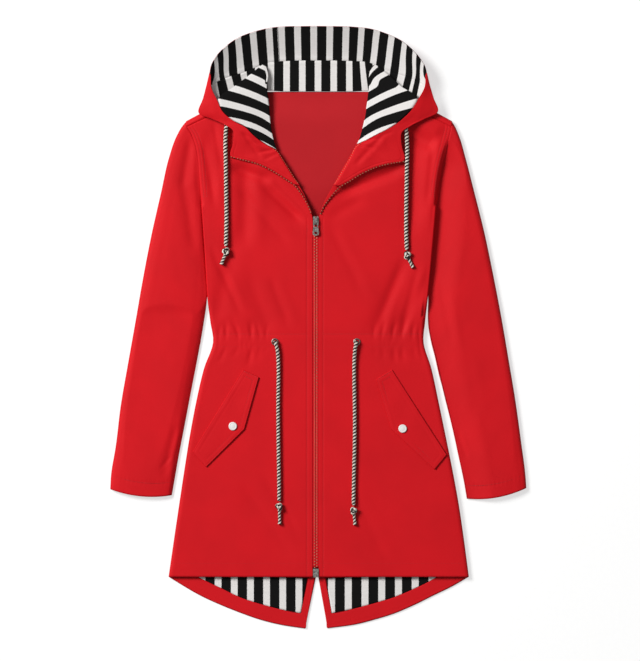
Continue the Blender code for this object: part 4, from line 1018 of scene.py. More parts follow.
# soft folds that only show in the cloth: x and y of one end, x and y of the other, half width, depth
FRONT_CREASES = (
    (-143, 330, -143, 296, 4.5, 3.6),
    (-122, 270, -122, 150, 12, 2.6),
    (-138, 266, -88, 247, 9, 4),
    (-90, 232, -34, 184, 6, 1.8),
    (-66, 236, -24, 196, 4, 0.9),
    (-124, 222, -58, 148, 8, 1.3),
    (-173, 120, -134, 36, 6, 1.4),
    (-77, 74, -52, 12, 7, 0.9),
    (-190, 302, -174, 214, 6, 1.5),
    (-173, 334, -161, 272, 5, 1),
    (44, 228, 134, 264, 10, 5),
    (152, 322, 188, 304, 13, 4.2),
    (24, 158, 70, 66, 8, 0.8),
    (136, 102, 100, 8, 7, 1),
    (164, 94, 138, 0, 6, 1),
    (160, 316, 158, 180, 15, 2.4),
    (190, 296, 182, 214, 6, 1.2),
    (-116, -276, -52, -366, 8, 0.7),
    (-90, -250, -40, -330, 6, 0.5),
    (56, -270, 110, -380, 8, 0.5),
)


def crease_depth(x, y, creases):
    """Depth of slanting troughs, each with a low ridge along the side away from the light."""
    return trough_depth(x, y, creases, 0.25, 0.4, 0.4)


def groove(distance, half=1):
    """Depth of the furrow that a row of stitches makes at a distance beside it."""
    return GROOVE * math.exp(-(distance / half) ** 2)


def stitch_sink(x, y, side):
    """How far the fronts sink along their rows of stitches, with small puckers beside them."""
    edge = table_at(FRONT_INNER, y, side)
    from_zip = FAR
    if y < ZIP_OPEN_Y:
        from_zip = abs(x) - abs(edge) if side == 1 else x - edge
    sink = groove(from_zip - ZIP_STITCH[side - 1])
    pucker = 0.16 * math.exp(-((from_zip - ZIP_STITCH[side - 1]) / 5) ** 2)
    sink += pucker * uneven(0, y * 0.16, 4 + side)
    sink += groove(y - HEM_STITCH_Y) * (y < -380)
    sink += 0.14 * math.exp(-((y - HEM_STITCH_Y) / 6) ** 2) * uneven(x * 0.15, 0, 9)
    for channel in CHANNEL_STITCHES:
        sink += 1.3 * groove(y - channel)
    if y > ARMHOLE[0][0] + 20:
        in_from = abs(outer_x(y, side)) - abs(x)
        for row in ARMHOLE_STITCHES:
            sink += groove(in_from - row)
    return sink


OVERLAP_RISE = 3.6       # where the left front lies over the sleeve
ZIP_OPEN_Y = 183         # from here up the fronts part
FAR = 99                 # a distance at which a row of stitches changes nothing


def overlap_lift(from_edge, y):
    """The left front rises towards its outer edge, where it lies over the sleeve."""
    here = smoothstep((y + 30) / 70) * smoothstep((322 - y) / 34)
    return OVERLAP_RISE * here * smoothstep((52 - from_edge) / 46)


def front_top(x, y):
    """Top of the fronts with everything that shows in the cloth."""
    side = 1 if x < 0 else 2
    y = min(y, NECK_Y)
    from_edge = abs(outer_x(y, side)) - abs(x)
    free = smoothstep(from_edge / 14)
    gathers = gather_depth(x, y, GATHERS_RIGHT if x < 0 else GATHERS_LEFT)
    lift = overlap_lift(from_edge, y) if side == 2 else 0
    drawn = GATHERS_FAR + GATHERS_NEAR * math.exp(-((y - WAIST_Y + 6) / 19) ** 2)
    soft = drawn * gathers + softness(x, y) + ripples(x, y)
    soft = free * (soft - crease_depth(x, y, FRONT_CREASES)) + lift * smoothstep(from_edge / 5)
    beside_sleeve = smoothstep((y - 20) / 30) * (y < ARMHOLE[0][0])
    if beside_sleeve and from_edge < ROLL:
        crown = front_height(x - math.copysign(ROLL - from_edge, x), y) + lift
        tight = SIDE_SEAM_Z + (crown - SIDE_SEAM_Z) * rounded(from_edge / 2.6)
        return lerp(front_height(x, y), tight, beside_sleeve) - stitch_sink(x, y, side)
    return front_height(x, y) + soft - stitch_sink(x, y, side)


FRONT_STEP = 3.1         # millimetres between rows
FRONT_COLUMNS = 108


def front_piece(name, side, shoulder, outer, inner_cloth):
    """A front: rows of points from its outer edge to the zip, close together near both."""
    sign = SIGN[side]
    seam_line = [(row[0], row[1]) for row in shoulder]
    last = len(FRONT_ROWS) - 1
    rows = []
    for k in range(last):
        rise = max(FRONT_ROWS[k + 1][0] - FRONT_ROWS[k][0], FRONT_ROWS[k + 1][1] - FRONT_ROWS[k][1])
        steps = max(2, round(rise / FRONT_STEP))
        rows += [k + j / steps for j in range(steps)]
    rows.append(float(last))
    edge_in = [0, 0.006, 0.02, 0.05, 0.09, 0.14, 0.20, 0.27, 0.35, 0.48, 0.64, 0.82]
    stitch = ZIP_STITCH[side - 1]
    near_zip = [0, 0.5, 1.4, 2.8, 4.4, stitch - 1.4, stitch - 0.7, stitch, stitch + 0.7, stitch + 1.4,
                stitch + 3]
    grid = []
    for place in rows:
        low = min(int(place), last - 1)
        t = place - low
        inner_y = lerp(FRONT_ROWS[low][0], FRONT_ROWS[low + 1][0], t)
        outer_y = lerp(FRONT_ROWS[low][1], FRONT_ROWS[low + 1][1], t)
        inner = (table_at(FRONT_INNER, inner_y, side), inner_y)
        seam_gap = -0.3 * smoothstep(place - ARMHOLE_START)
        outer_edge = (outer_x(outer_y, side) - sign * seam_gap, outer_y)
        width = abs(outer_edge[0] - inner[0])
        start, stop = ROLL / width, 1 - (near_zip[-1] + 1) / width
        shares = [ROLL * e / width for e in edge_in]
        shares += [lerp(start, stop, k / FRONT_COLUMNS) for k in range(FRONT_COLUMNS + 1)]
        shares += [1 - d / width for d in near_zip[::-1]]
        bow = smoothstep((place - ARMHOLE_START) / (last - ARMHOLE_START))
        line = []
        for share in shares:
            x = lerp(outer_edge[0], inner[0], share)
            y = lerp(outer_edge[1], inner[1], share)
            seam_x, seam_y = along(seam_line, (1 - share) * (len(seam_line) - 1))
            x += bow * (seam_x - lerp(seam_line[-1][0], seam_line[0][0], share))
            y += bow * (seam_y - lerp(seam_line[-1][1], seam_line[0][1], share))
            line.append((x, y, front_top(x, y)))
        grid.append(line)
    flats = [[(x, y) for x, y, z in row] for row in grid]
    sheet_piece(name + "_cloth", name, grid, flats, CLOTH, outer, inner_cloth)


# ---- back

END_GAP = -0.5           # negative: the shoulder's last point reaches past the seam's end
TAIL_TOP_Y = -380


def back_line(side_x, side_y, middle_y, curl, steps):
    """One row of half the back, from the middle to the side edge, which curls up off the floor."""
    width = abs(side_x - VENT_APEX[0])
    flat_end = 1 - ROLL / width
    shares = [k / steps * flat_end for k in range(steps)]
    shares += [1 - inset * ROLL / width for inset in (1, 0.8, 0.6, 0.42, 0.27, 0.15, 0.07, 0.02, 0)]
    line = []
    for share in shares:
        inset = (1 - share) * width
        height = curl * (1 - rounded(inset / ROLL))
        line.append((lerp(VENT_APEX[0], side_x, share), lerp(middle_y, side_y, share), height))
    return line


def back_half_grid(side, tail):
    """Half of the back, from the tail up to the shoulder."""
    steps = 60
    grid = []
    hem = [(row[0], row[1]) for row in tail]
    top_side = outer_x(TAIL_TOP_Y, side)
    width = abs(top_side - VENT_APEX[0])
    tail_steps = 26
    for step in range(tail_steps):
        t = step / tail_steps
        weight = smoothstep(t * 1.2 - 0.2)
        line = []
        for x, y, z in back_line(top_side, TAIL_TOP_Y, TAIL_TOP_Y, weight * BACK_CURL, steps):
            share = abs(x - VENT_APEX[0]) / width
            if share == 0:
                y = VENT_TOP_Y
            hem_x, hem_y = along(hem, share * (len(hem) - 1))
            line.append((lerp(hem_x, x, t), lerp(hem_y, y, t), z))
        grid.append(line)
    first = back_line(top_side, TAIL_TOP_Y, TAIL_TOP_Y, BACK_CURL, steps)
    first[0] = (*VENT_APEX, 0)
    grid.append(first)
    for y in spread(TAIL_TOP_Y, ARMHOLE[0][0], 8)[1:-1]:
        grid.append(back_line(outer_x(y, side), y, y, BACK_CURL, steps))
    stations = len(ARMHOLE) - 1
    for k in range(stations * 4 + 1):
        place = k / 4
        low = min(int(place), stations - 1)
        y = lerp(ARMHOLE[low][0], ARMHOLE[low + 1][0], place - low)
        sign = SIGN[side]
        edge = table_at(ARMHOLE, y, side) - sign * SEAM / 2 * smoothstep(place)
        middle = lerp(205, 376, place / stations)
        grid.append(back_line(edge, y, middle, table_at(ARMHOLE, y, 4), steps))
    return [[(x, y, z + neck_puff(x, y)) for x, y, z in row] for row in grid]


NECK_RISE = 5.5          # highest that the back's cloth stands inside the neck


def neck_puff(x, y):
    """The back's cloth stands up a little inside the open neck."""
    across = smoothstep((126 - abs(x + 4)) / 36)
    return NECK_RISE * across * smoothstep((393 - y) / 52) * smoothstep((y - 180) / 60)


def shoulder_grid(side, shoulder, last_line):
    """The back's cloth over the shoulder, from the flat of the back to the forward seam on top."""
    sign = SIGN[side]
    seam = [(row[0], row[1]) for row in shoulder]
    fold = [(row[2], row[3]) for row in shoulder]
    corner = abs(fold[0][0])
    foot = [p for p in last_line if abs(p[0]) >= 0.9 * corner]
    count = len(foot)
    rows = [[] for _ in range(9)]
    for k, start in enumerate(foot):
        place = k / (count - 1) * (len(fold) - 1)
        seam_x, seam_y = along(seam, place)
        fold_x, fold_y = along(fold, place)
        length = math.hypot(fold_x - seam_x, fold_y - seam_y)
        gap = sign * END_GAP * (k == count - 1)
        profile = ((-6.5, 0), (-3.8, 0.7), (-1.3, 2.3), (0, 5.4), (-1, 8.2), (-3.4, 9.9),
                   (-6.5, 11.1))
        rows[0].append((start[0], start[1], start[2]))
        for j, (inward, height) in enumerate(profile):
            share = 1 + inward / length
            rows[j + 1].append((lerp(seam_x, fold_x, share) - gap, lerp(seam_y, fold_y, share), height))
        rows[8].append((seam_x - gap, seam_y + 0.1, front_height(seam_x, seam_y) - 0.5))
    return rows


def neck_grid(last_line, shoulder):
    """Flat stretch of the back up to the neck seam."""
    corner = shoulder[0][2]
    foot = [p for p in last_line if abs(p[0]) <= abs(corner)]
    rows = []
    for step in range(6):
        t = step / 5
        row = []
        for k, (x, y, z) in enumerate(foot):
            goal_x = lerp(VENT_APEX[0], corner, k / (len(foot) - 1))
            here_x, here_y = lerp(x, goal_x, t), lerp(y, NECK_Y, t)
            row.append((here_x, here_y, neck_puff(here_x, here_y)))
        rows.append(row)
    return rows


def make_back(outer, inner_cloth):
    """The back: one piece, welded from flats, neck and shoulders of both halves."""
    parts = []
    for side, tail, shoulder in ((1, TAIL_RIGHT, SHOULDER_RIGHT), (2, TAIL_LEFT, SHOULDER_LEFT)):
        grid = back_half_grid(side, tail)
        parts += [grid, neck_grid(grid[-1], shoulder), shoulder_grid(side, shoulder, grid[-1])]
    points, faces, flats = [], [], []
    for grid in parts:
        own = quads(len(points), len(grid), len(grid[0]))
        for row in grid:
            points += row
            flats += [(x, y) for x, y, z in row]
        if is_upside_down(points, own, "down"):
            own = [face[::-1] for face in own]
        faces += own
    made = add_piece("back_cloth", points, faces, [outer, inner_cloth], flats=flats)
    weld = made.modifiers.new("weld", "WELD")
    weld.merge_threshold = 0.00005
    thicken(made, CLOTH)
    finish_piece(made, "back")


# ---- sleeves

def smooth_line(points, steps):
    """Points on a smooth curve through given ones, with a number of steps in each stretch."""
    knots = [0]
    for a, b in zip(points, points[1:]):
        knots.append(knots[-1] + max(math.dist(a, b), 1e-6))
    last = len(points) - 1
    slopes = []
    for k in range(last + 1):
        low, high = max(k - 1, 0), min(k + 1, last)
        before = knots[k] - knots[low]
        after = knots[high] - knots[k]
        slope = []
        for axis in range(3):
            rise = (points[k][axis] - points[low][axis]) / before if before else 0
            fall = (points[high][axis] - points[k][axis]) / after if after else 0
            slope.append((rise * after + fall * before) / (before + after) if before and after
                         else rise + fall)
        slopes.append(slope)
    line = []
    for k in range(last):
        span = knots[k + 1] - knots[k]
        ends = list(zip(points[k], points[k + 1], slopes[k], slopes[k + 1]))
        line += [tuple(hermite(j / steps[k], span, *end) for end in ends) for j in range(steps[k])]
    line.append(points[last])
    return line


def refine(grid, along_step, across_step):
    """A finer grid on the smooth surface through a coarse one."""
    middle_row = grid[len(grid) // 2]
    across = [max(1, round(math.dist(a, b) / across_step)) for a, b in zip(middle_row, middle_row[1:])]
    finer = [smooth_line(row, across) for row in grid]
    column = [row[len(row) // 2] for row in finer]
    down = [max(1, round(math.dist(a, b) / along_step)) for a, b in zip(column, column[1:])]
    columns = [smooth_line([row[k] for row in finer], down) for k in range(len(finer[0]))]
    return [list(row) for row in zip(*columns)]


def sleeve_grid(side, table):
    """Rings of a sleeve from the cuff to the armhole, open along the seam at its inner edge."""
    sign = SIGN[side]
    top = [(row[side], row[0], row[3]) for row in ARMHOLE]
    wrap = [(row[side - 1], row[2], row[3]) for row in SHOULDER_WRAP[::-1]]
    under = [(row[side], row[0], row[4]) for row in ARMHOLE[::-1]]
    armhole = [(x + sign * SEAM / 2, y, z) for x, y, z in top + wrap + under]
    foot, head = table[-1][0:2], table[-1][2:4]
    run = (head[0] - foot[0], head[1] - foot[1])
    length = math.hypot(*run)
    grid = []
    for inner_x, inner_y, outer_x_, outer_y, height, own in table:
        ring = []
        for (share, rise), (arm_x, arm_y, arm_z) in zip(SLEEVE_RING, armhole):
            arm_share = ((arm_x - foot[0]) * run[0] + (arm_y - foot[1]) * run[1]) / length ** 2
            place = lerp(share, arm_share, own)
            x = lerp(inner_x, outer_x_, place)
            y = lerp(inner_y, outer_y, place)
            x += own * (arm_x - lerp(foot[0], head[0], arm_share))
            y += own * (arm_y - lerp(foot[1], head[1], arm_share))
            bow = CUFF_BOW * smoothstep((CUFF_BOW_TOP_Y - y) / 110)
            ring.append((x, y - bow * 4 * place * (1 - place), lerp(rise * height, arm_z, own)))
        grid.append(ring)
    return grid


# creases of the sleeves: x and y of one end, x and y of the other, half width, depth
SLEEVE_CREASES_RIGHT = (
    (-214, 306, -225, 240, 8, 2),
    (-223, 236, -208, 140, 9, 1.8),
    (-238, -170, -256, -236, 6, 1.2),
    (-226, -176, -240, -222, 3.4, 0.8),
    (-246, -214, -262, -232, 3, 0.5),
    (-212, -60, -226, -140, 8, 0.9),
    (-200, 20, -212, -50, 6, 0.7),
)
SLEEVE_CREASES_LEFT = (
    (232, -176, 246, -214, 4, 0.6),
    (206, 60, 222, -20, 7, 0.7),
    (246, -60, 262, -140, 9, 0.5),
)
CUFF_STITCH = 23       # from the cuff's end
LEFT_CLOSE = 2.4         # how much further the left sleeve closes up to the front
SLEEVE_TOP = 11.4        # height of a sleeve's top near the cuff
INNER_ROLL = ((3.6, 22), (3.3, 50))   # lowest height and width of the inner side's roll


def inner_edge(side, y):
    """x of a sleeve's inner edge at a height y."""
    table = SLEEVE_RIGHT if side == 1 else SLEEVE_LEFT
    rows = [(row[1], row[0]) for row in table]
    return table_at(rows, y, 1)


def sleeve_piece(name, side, table, creases, outer, inner_cloth):
    """A sleeve with its creases and cuff stitching, closed up to the front at its inner edge."""
    sign = SIGN[side]
    grid = refine(sleeve_grid(side, table), 3, 2)
    cuff = (table[0][0:2], table[0][2:4])
    shaped = []
    for row in grid:
        line = []
        for x, y, z in row:
            top = smoothstep((z - 6.2) / 3.4)
            z = min(z, inner_roll(side, from_inner_edge(side, x, y), y)) if z > 3 else z
            from_inner = from_inner_edge(side, x, y)
            from_cuff = y - lerp(cuff[0][1], cuff[1][1], abs(x - cuff[0][0]) / abs(cuff[1][0] - cuff[0][0]))
            from_cuff += (cuff_bow(x, cuff) if y < CUFF_BOW_TOP_Y else 0)
            seam_share = smoothstep(math.dist((x, y), outer_point(side, y)) / 10) if y > 200 else 1
            change = seam_share * (0.4 * uneven(x * 0.02, y * 0.008, 5 + side)
                                   + 0.12 * uneven(x * 0.06, y * 0.03, 11 + side)
                                   - crease_depth(x, y, creases))
            sink = groove(from_cuff - CUFF_STITCH)
            sink += 0.12 * math.exp(-((from_cuff - CUFF_STITCH) / 5) ** 2) * math.sin(x * 0.9)
            close = smoothstep((y - 40) / 25) * smoothstep((206 - y) / 10)
            shut = 1.15 * close + 0.5 * smoothstep((y - 200) / 8)
            if side == 2:
                shut += LEFT_CLOSE * smoothstep((y - 100) / 30) * smoothstep((214 - y) / 16)
            x -= sign * shut * (1 - smoothstep(from_inner / 7))
            line.append((x, y, z + top * (change - sink)))
        shaped.append(line)
    sheet_piece(name + "_cloth", name, shaped, flat_sizes(shaped), CLOTH, outer, inner_cloth, "tube")


def cuff_bow(x, cuff):
    """How far the cuff hangs below the line between its corners."""
    share = abs(x - cuff[0][0]) / abs(cuff[1][0] - cuff[0][0])
    share = min(max(share, 0), 1)
    return CUFF_BOW * 4 * share * (1 - share)


def from_inner_edge(side, x, y):
    """Distance from a sleeve's inner edge, or above the underarm from the armhole seam."""
    if y < ARMHOLE[0][0]:
        return abs(x - inner_edge(side, y))
    return abs(abs(x) - abs(outer_x(min(y, ARMHOLE[-1][0]), side)))


def inner_roll(side, distance, y):
    """Highest a sleeve may stand near its inner edge: it rolls off below the elbow on the right,
    and dips under the front's edge on the left."""
    low, wide = INNER_ROLL[side - 1]
    share = min(distance / wide, 1)
    rise = 1 - (1 - share) ** 2.8 if side == 1 else smoothstep(share)
    height = low + (SLEEVE_TOP - low) * rise
    if side == 1:
        return height + 9 * smoothstep((y - 20) / 60)
    seam = (1 - smoothstep(distance / 2.4)) * smoothstep((y - 205) / 12)
    cap = smoothstep((y - 258) / 72)
    return height + 9 * (1 - (1 - seam) * (1 - cap))


def outer_point(side, y):
    return (table_at(ARMHOLE, min(max(y, ARMHOLE[0][0]), ARMHOLE[-1][0]), side), y)


# ---- hood

HOOD_MIDDLE = (len(HOOD_RIBS) - 1) // 2
RIB_STEPS = 14


def hood_point(rib, place):
    """Point on a rib of the open hood: place 0 is the arch, 1 the seam arc, 2 the foot."""
    a, b = (rib[0:3], rib[3:6]) if place <= 1 else (rib[3:6], rib[6:9])
    t = place if place <= 1 else place - 1
    sag = 1 - (1 - t) ** 1.25 if place <= 1 else t
    return (lerp(a[0], b[0], t), lerp(a[1], b[1], t), lerp(a[2], b[2], sag))


def hood_ribs():
    """Fine ribs of the hood, and each one's run along the seam arc from the middle."""
    places = [k / RIB_STEPS for k in range(RIB_STEPS * (len(HOOD_RIBS) - 1) + 1)]
    ribs = [along(HOOD_RIBS, place) for place in places]
    run = running_length([rib[3:5] for rib in ribs])
    zero = run[HOOD_MIDDLE * RIB_STEPS]
    return ribs, [r - zero for r in run]


# x of the middles of the crown's black stripes at the arch, each side of the join in the lining
CROWN_STRIPES_RIGHT = (-177, -164, -145, -121.5, -95.4, -68.6)
CROWN_STRIPES_LEFT = (-74.4, -48.2, -21.2, 5.8, 32.6, 59.4, 84.4, 109.8, 133.6, 152.4, 167.4, 178)
CROWN_JOIN = -66.5
NAPE_STRIPE = 26.1
NAPE_BEHIND = 3        # whole stripes that the nape's count is behind the crown's on the left


def stripe_count(x, middles):
    """Stripe count at x; whole numbers are the middles of black stripes."""
    for k, (low, high) in enumerate(zip(middles, middles[1:])):
        if x < high or k == len(middles) - 2:
            return k + (x - low) / (high - low)
    return 0


def crown_stripe(x, place):
    """Stripe of the crown on the rib whose arch is at x, leaning outwards towards the seam."""
    share = smoothstep(place)
    if x < CROWN_JOIN:
        lean = 1.2 * smoothstep((-40 - x) / 60) + 9 * smoothstep((-125 - x) / 40)
        return stripe_count(x, CROWN_STRIPES_RIGHT) + share * lean / STRIPE_WIDTH
    lean = 3 * smoothstep((x - 60) / 25) + 11 * smoothstep((x - 135) / 35)
    return stripe_count(x, CROWN_STRIPES_LEFT) - share * lean / STRIPE_WIDTH


def nape_stripe(run, crown, down):
    """Stripe of the nape; beyond the neck on the left it carries on the crown's."""
    shift = 12.5 + 3.1 * smoothstep((-80 - run) / 30)
    own = (run - shift) / NAPE_STRIPE + 0.30 * smoothstep((run - 50) / 40) * (1 - down)
    return lerp(own, crown - NAPE_BEHIND, smoothstep((run - 92) / 26))


def hood_sheet(name, node, first, last, steps, lift, rim_inset, reach, thickness, outer, inner):
    """A layer of the open hood, from the place first to the place last on its ribs."""
    ribs, seam_run = hood_ribs()
    grid, flats = [], []
    for k, rib in enumerate(ribs):
        row, flat = [], []
        for j in range(steps + 1):
            place = lerp(first, last, j / steps)
            x, y, z = hood_point(rib, place)
            if place == 0:
                size = math.hypot(x, y - ARCH_Y)
                x -= rim_inset * x / size
                y -= rim_inset * (y - ARCH_Y) / size
            y += reach * (place == last)
            wave = 0.7 * uneven(x * 0.02, y * 0.02, 2) * smoothstep(2.2 * place)
            puff = seam_puff(place, x)
            z += lift + wave + puff
            stripe = crown_stripe(rib[0], min(place, 1))
            if last > 1:
                stripe = nape_stripe(seam_run[k], stripe, place - 1)
                z -= 0.6 * (place < 1)
            row.append((x, y, z))
            flat.append((stripe, place * 50))
        grid.append(row)
        flats.append(flat)
    sheet_piece(name, node, grid, flats, thickness, outer, inner)


def seam_puff(place, x):
    """Cloth rises a little beside the seam between crown and nape."""
    off = abs(place - 1) * 40
    return 0.5 * math.exp(-((off - 3) / 2.4) ** 2) + 0.1 * math.sin(x * 0.8) * math.exp(-(off / 5) ** 2)


# black stripes of the side linings at the neck edge, from the top one down: y
SIDE_STRIPES_RIGHT = (445.4, 416.8, 389.1, 360.4, 330.3, 304.7, 276)
SIDE_STRIPES_LEFT = (434, 409, 384.6, 354.5, 321, 288)


def side_lining(name, node, table, stripes, rise, reach, curl, cloth):
    """Lining of a side of the hood: its stripes rise away from the neck and level out.

    Its outer edge is tucked under the facing; near the top, the stripes along its neck edge are drawn as if
    that edge curled over.
    """
    coarse = [[between(row[:3], row[3:6], k / 4) for k in range(5)] for row in table]
    grid = refine(coarse, 1.8, 2.2)
    downwards = [-stripe for stripe in stripes]
    shaped, flats = [], []
    for k, row in enumerate(grid):
        line, flat = [], []
        width = math.dist(row[0][:2], row[-1][:2])
        for x, y, z in row:
            off = abs(abs(x) - abs(row[0][0]))
            share = math.dist((x, y), row[0][:2]) / width
            upper = smoothstep((y - 345) / 30)
            lift = 2.4 * share * (1 - share)
            lift += 0.5 * uneven(x * 0.03, y * 0.03, 6)
            line.append((x, y, z + lift))
            level = lerp(rise[0], rise[1], upper) * (1 - math.exp(-off / lerp(reach[0], reach[1], upper)))
            steep, white = curl
            level += steep * (1 - math.exp(-off / 6)) * smoothstep((y - 398) / 16)
            count = stripe_count(level - y, downwards)
            turned = white * smoothstep((4.2 - off) / 2) * smoothstep((y - 403) / 8)
            flat.append((lerp(count, 0.5, turned), off))
        (x0, y0, z0), (x1, y1, z1) = line[-2:]
        step = math.dist((x0, y0), (x1, y1))
        tuck = 3.2 * (1 - smoothstep((k / len(grid) - 0.55) / 0.08))
        if tuck > 0:
            line[-1] = (x1 + (x1 - x0) / step * tuck, y1 + (y1 - y0) / step * tuck, z1 - 0.7 * tuck)
        shaped.append(line)
        flats.append(flat)
    sheet_piece(name, node, shaped, flats, LINING, cloth, cloth)


def hood_side(name, node, table, outer, inner):
    """Outer cloth of a side of the hood, under its lining and facing."""
    coarse = [[between(row[:3], row[3:6], share) for share in (0, 0.33, 0.66, 1)] for row in table]
    grid = refine(coarse, 2.4, 2.8)
    grid = [[(x, y, z + 0.6 * uneven(x * 0.03, y * 0.03, 8)) for x, y, z in row]
            for row in grid]
    sheet_piece(name, node, grid, flat_sizes(grid), CLOTH, outer, inner)


def make_hood(kit):
    """Outer cloth of the open hood, its striped lining, and the cloth under the side linings."""
    drop = LINING + SEAM + 0.6
    shell, inside, lining = kit["shell"], kit["inside"], kit["lining"]
    hood_sheet("hood_center_cloth", "hood_center", 0, 2, 56, -drop, 0, 0, CLOTH, inside, shell)
    hood_sheet("hood_crown_stripes", "hood_lining_crown", 0, 1, 40, 0, 0.9, 0.6, LINING, lining,
               lining)
    hood_sheet("hood_nape_stripes", "hood_lining_nape", 0.97, 2, 34, 0, 0, 0, LINING, lining,
               lining)
    side_lining("hood_side_stripes_right", "hood_lining_right", LINING_RIGHT, SIDE_STRIPES_RIGHT,
                (34, 45), (42, 80), (0, 1), lining)
    side_lining("hood_side_stripes_left", "hood_lining_left", LINING_LEFT, SIDE_STRIPES_LEFT,
                (38, 60), (38, 90), (10, 0), lining)
    hood_side("hood_side_cloth_right", "hood_side_right", HOOD_SIDE_RIGHT, shell, inside)
    hood_side("hood_side_cloth_left", "hood_side_left", HOOD_SIDE_LEFT, shell, inside)


# ---- facings

LIP_FOOT = 13.4
LIP_DROPS = ((0, 1), (0.3, 0.74), (0.8, 0.38), (1.6, 0.14), (2.5, 0.04), (3.4, 0))
FACING_STITCH = 6      # in from the outer edge of the lapel
LAPEL_CORNER = 8         # row of the facings at the lapel's outer corner


def facing_piece(name, node, table, puckers, outer, inner_cloth):
    """Facing turned out along the front and hood edge, its lip rolled down at the neck."""
    steps = [max(2, round(math.dist(a[0:3], b[0:3]) / 2.2)) for a, b in zip(table, table[1:])]
    edges = [smooth_line([row[start:start + 3] for row in table], steps) for start in (0, 3)]
    lips = []
    for k, count in enumerate(steps):
        lips += [(lerp(table[k][6], table[k + 1][6], j / count), k + j / count) for j in range(count)]
    lips.append((table[-1][6], len(table) - 1))
    grid = []
    for inner, outer_edge, (lip, place) in zip(*edges, lips):
        width = math.dist(inner[:2], outer_edge[:2])
        near = [d for d, _ in LIP_DROPS]
        far = [lerp(4.4, width - 9, k / 22) for k in range(23)]
        if width < 16:
            far = [lerp(0.32, 0.55, k / 22) * width for k in range(23)]
            near = [d * width * 0.3 / 3.4 for d in near]
        outside = [width - d for d in (8, 7, 6.4, 6, 5.6, 5, 4, 3, 2, 1.2, 0.6, 0.25, 0)]
        if width < 16:
            outside = [lerp(0.56, 1, k / 12) * width for k in range(13)]
        line = []
        for d in near + far + outside:
            share = d / width
            x, y, z = between(inner, outer_edge, share)
            z -= lip_drop(d) * lip * (inner[2] - LIP_FOOT)
            z += 2.4 * share * (1 - share)
            free = smoothstep(d / 12) * smoothstep((width - d) / 8)
            z += free * (0.9 * uneven(x * 0.025, y * 0.025, 12)
                         + 0.3 * uneven(x * 0.08, y * 0.08, 14))
            z -= groove(width - d - FACING_STITCH) * smoothstep((place - 6) / 2)
            z -= crease_depth(x, y, puckers)
            z -= 0.35 * (1 - rounded((width - d) / 1.2))
            line.append((x, y, z))
        grid.append(line)
    sheet_piece(name, node, grid, flat_sizes(grid), CLOTH, outer, inner_cloth)


def lip_drop(distance):
    """Share of the lip's roll at a distance out from the neck edge."""
    for (a, high), (b, low) in zip(LIP_DROPS, LIP_DROPS[1:]):
        if distance <= b:
            return lerp(high, low, (distance - a) / (b - a))
    return 0


# creases of the facings: x and y of one end, x and y of the other, half width, depth
PUCKERS_RIGHT = (
    (-71, 297, -96, 292, 2.4, 0.9),
    (-74, 301, -104, 308, 2.6, 1),
    (-68, 290, -88, 280, 2.4, 0.7),
    (-90, 306, -124, 322, 3.2, 0.8),
    (-122, 319, -100, 288, 3.4, 1.2),
)
PUCKERS_LEFT = (
    (66, 305, 92, 298, 2.4, 0.9),
    (69, 309, 100, 314, 2.6, 1),
    (63, 298, 84, 287, 2.4, 0.7),
    (88, 314, 120, 324, 3.2, 0.8),
    (105, 317, 66, 277, 4, 1.1),
    (99, 323, 70, 304, 3, 0.8),
)


# ---- tail

VENT_Y = -402


def tail_pieces(side, tail, vent, kit):
    """Striped lining and turned-up edge that lie on the inside of the tail."""
    vent_edge, vent_lining = vent
    sign = -1 if side == "right" else 1
    base = CLOTH + SEAM
    edge = [(x - sign * 0.5, y + 0.7) for x, y, _, _ in tail]
    seam = [(x, y) for _, _, x, y in tail]
    lining = []
    for share in (0, 0.2, 0.4, 0.6, 0.8):
        line = []
        for k, (x, y) in enumerate(seam):
            top_x = lerp(vent_lining, seam[-1][0] - sign * 6, k / (len(seam) - 1))
            line.append((lerp(x, top_x, share), lerp(y, VENT_Y, share), base + LINING))
        lining.append(line)
    fine = refine(lining, 2.2, 2.4)
    fine = [[(x, y, z + 0.5 * uneven(x * 0.04, y * 0.04, 15) ** 2) for x, y, z in row]
            for row in fine]
    flats = [[(tail_stripe(x), y) for x, y, z in row] for row in fine]
    sheet_piece("tail_stripes_" + side, "tail_lining_" + side, fine, flats, LINING, kit["lining"],
                kit["lining"])

    corner = (edge[0], seam[0])
    first = ((vent_edge + sign * 0.8, VENT_Y - 8), (vent_lining - sign * SEAM, VENT_Y - 8))
    bands = [first]
    for share in (0.35, 0.7, 0.9):
        outer = between(first[0], corner[0], share)
        inner = between(first[1], corner[1], share)
        bands.append((outer, (inner[0] - sign * SEAM, inner[1])))
    for k, outer in enumerate(edge):
        bands.append((outer, (seam[k][0] - sign * SEAM * (k == 0), seam[k][1] - SEAM * 1.2)))
        if k == 0:
            past = between(outer, edge[1], 0.12)
            bands.append((past, (lerp(seam[0][0], seam[1][0], 0.12), seam[0][1] - SEAM * 1.2)))
    turned = [[(*between(outer, inner, t), base + CLOTH) for t in (0, 0.5, 1)]
              for outer, inner in bands]
    grid = refine(turned, 2.2, 1.4)
    across = len(grid[0]) - 1
    shaped = []
    for row in grid:
        line = []
        for k, (x, y, z) in enumerate(row):
            width = math.dist(row[0][:2], row[-1][:2])
            d = width * k / across
            line.append((x, y, z - 0.5 * groove(d - 5) - 0.3 * (1 - rounded(d / 1.5))))
        shaped.append(line)
    sheet_piece("tail_band_" + side, "tail_facing_" + side, shaped, flat_sizes(shaped), CLOTH,
                kit["shell"], kit["inside"])


def tail_stripe(x):
    """Stripe count across the tail: each half has its own lining."""
    return (x + 18.8) / 26.9 if x < 0 else (x - 8) / 27.85


# ---- pocket flaps

FLAP_EDGE_STITCH = 2
FLAP_FAR_STITCH = 8.5


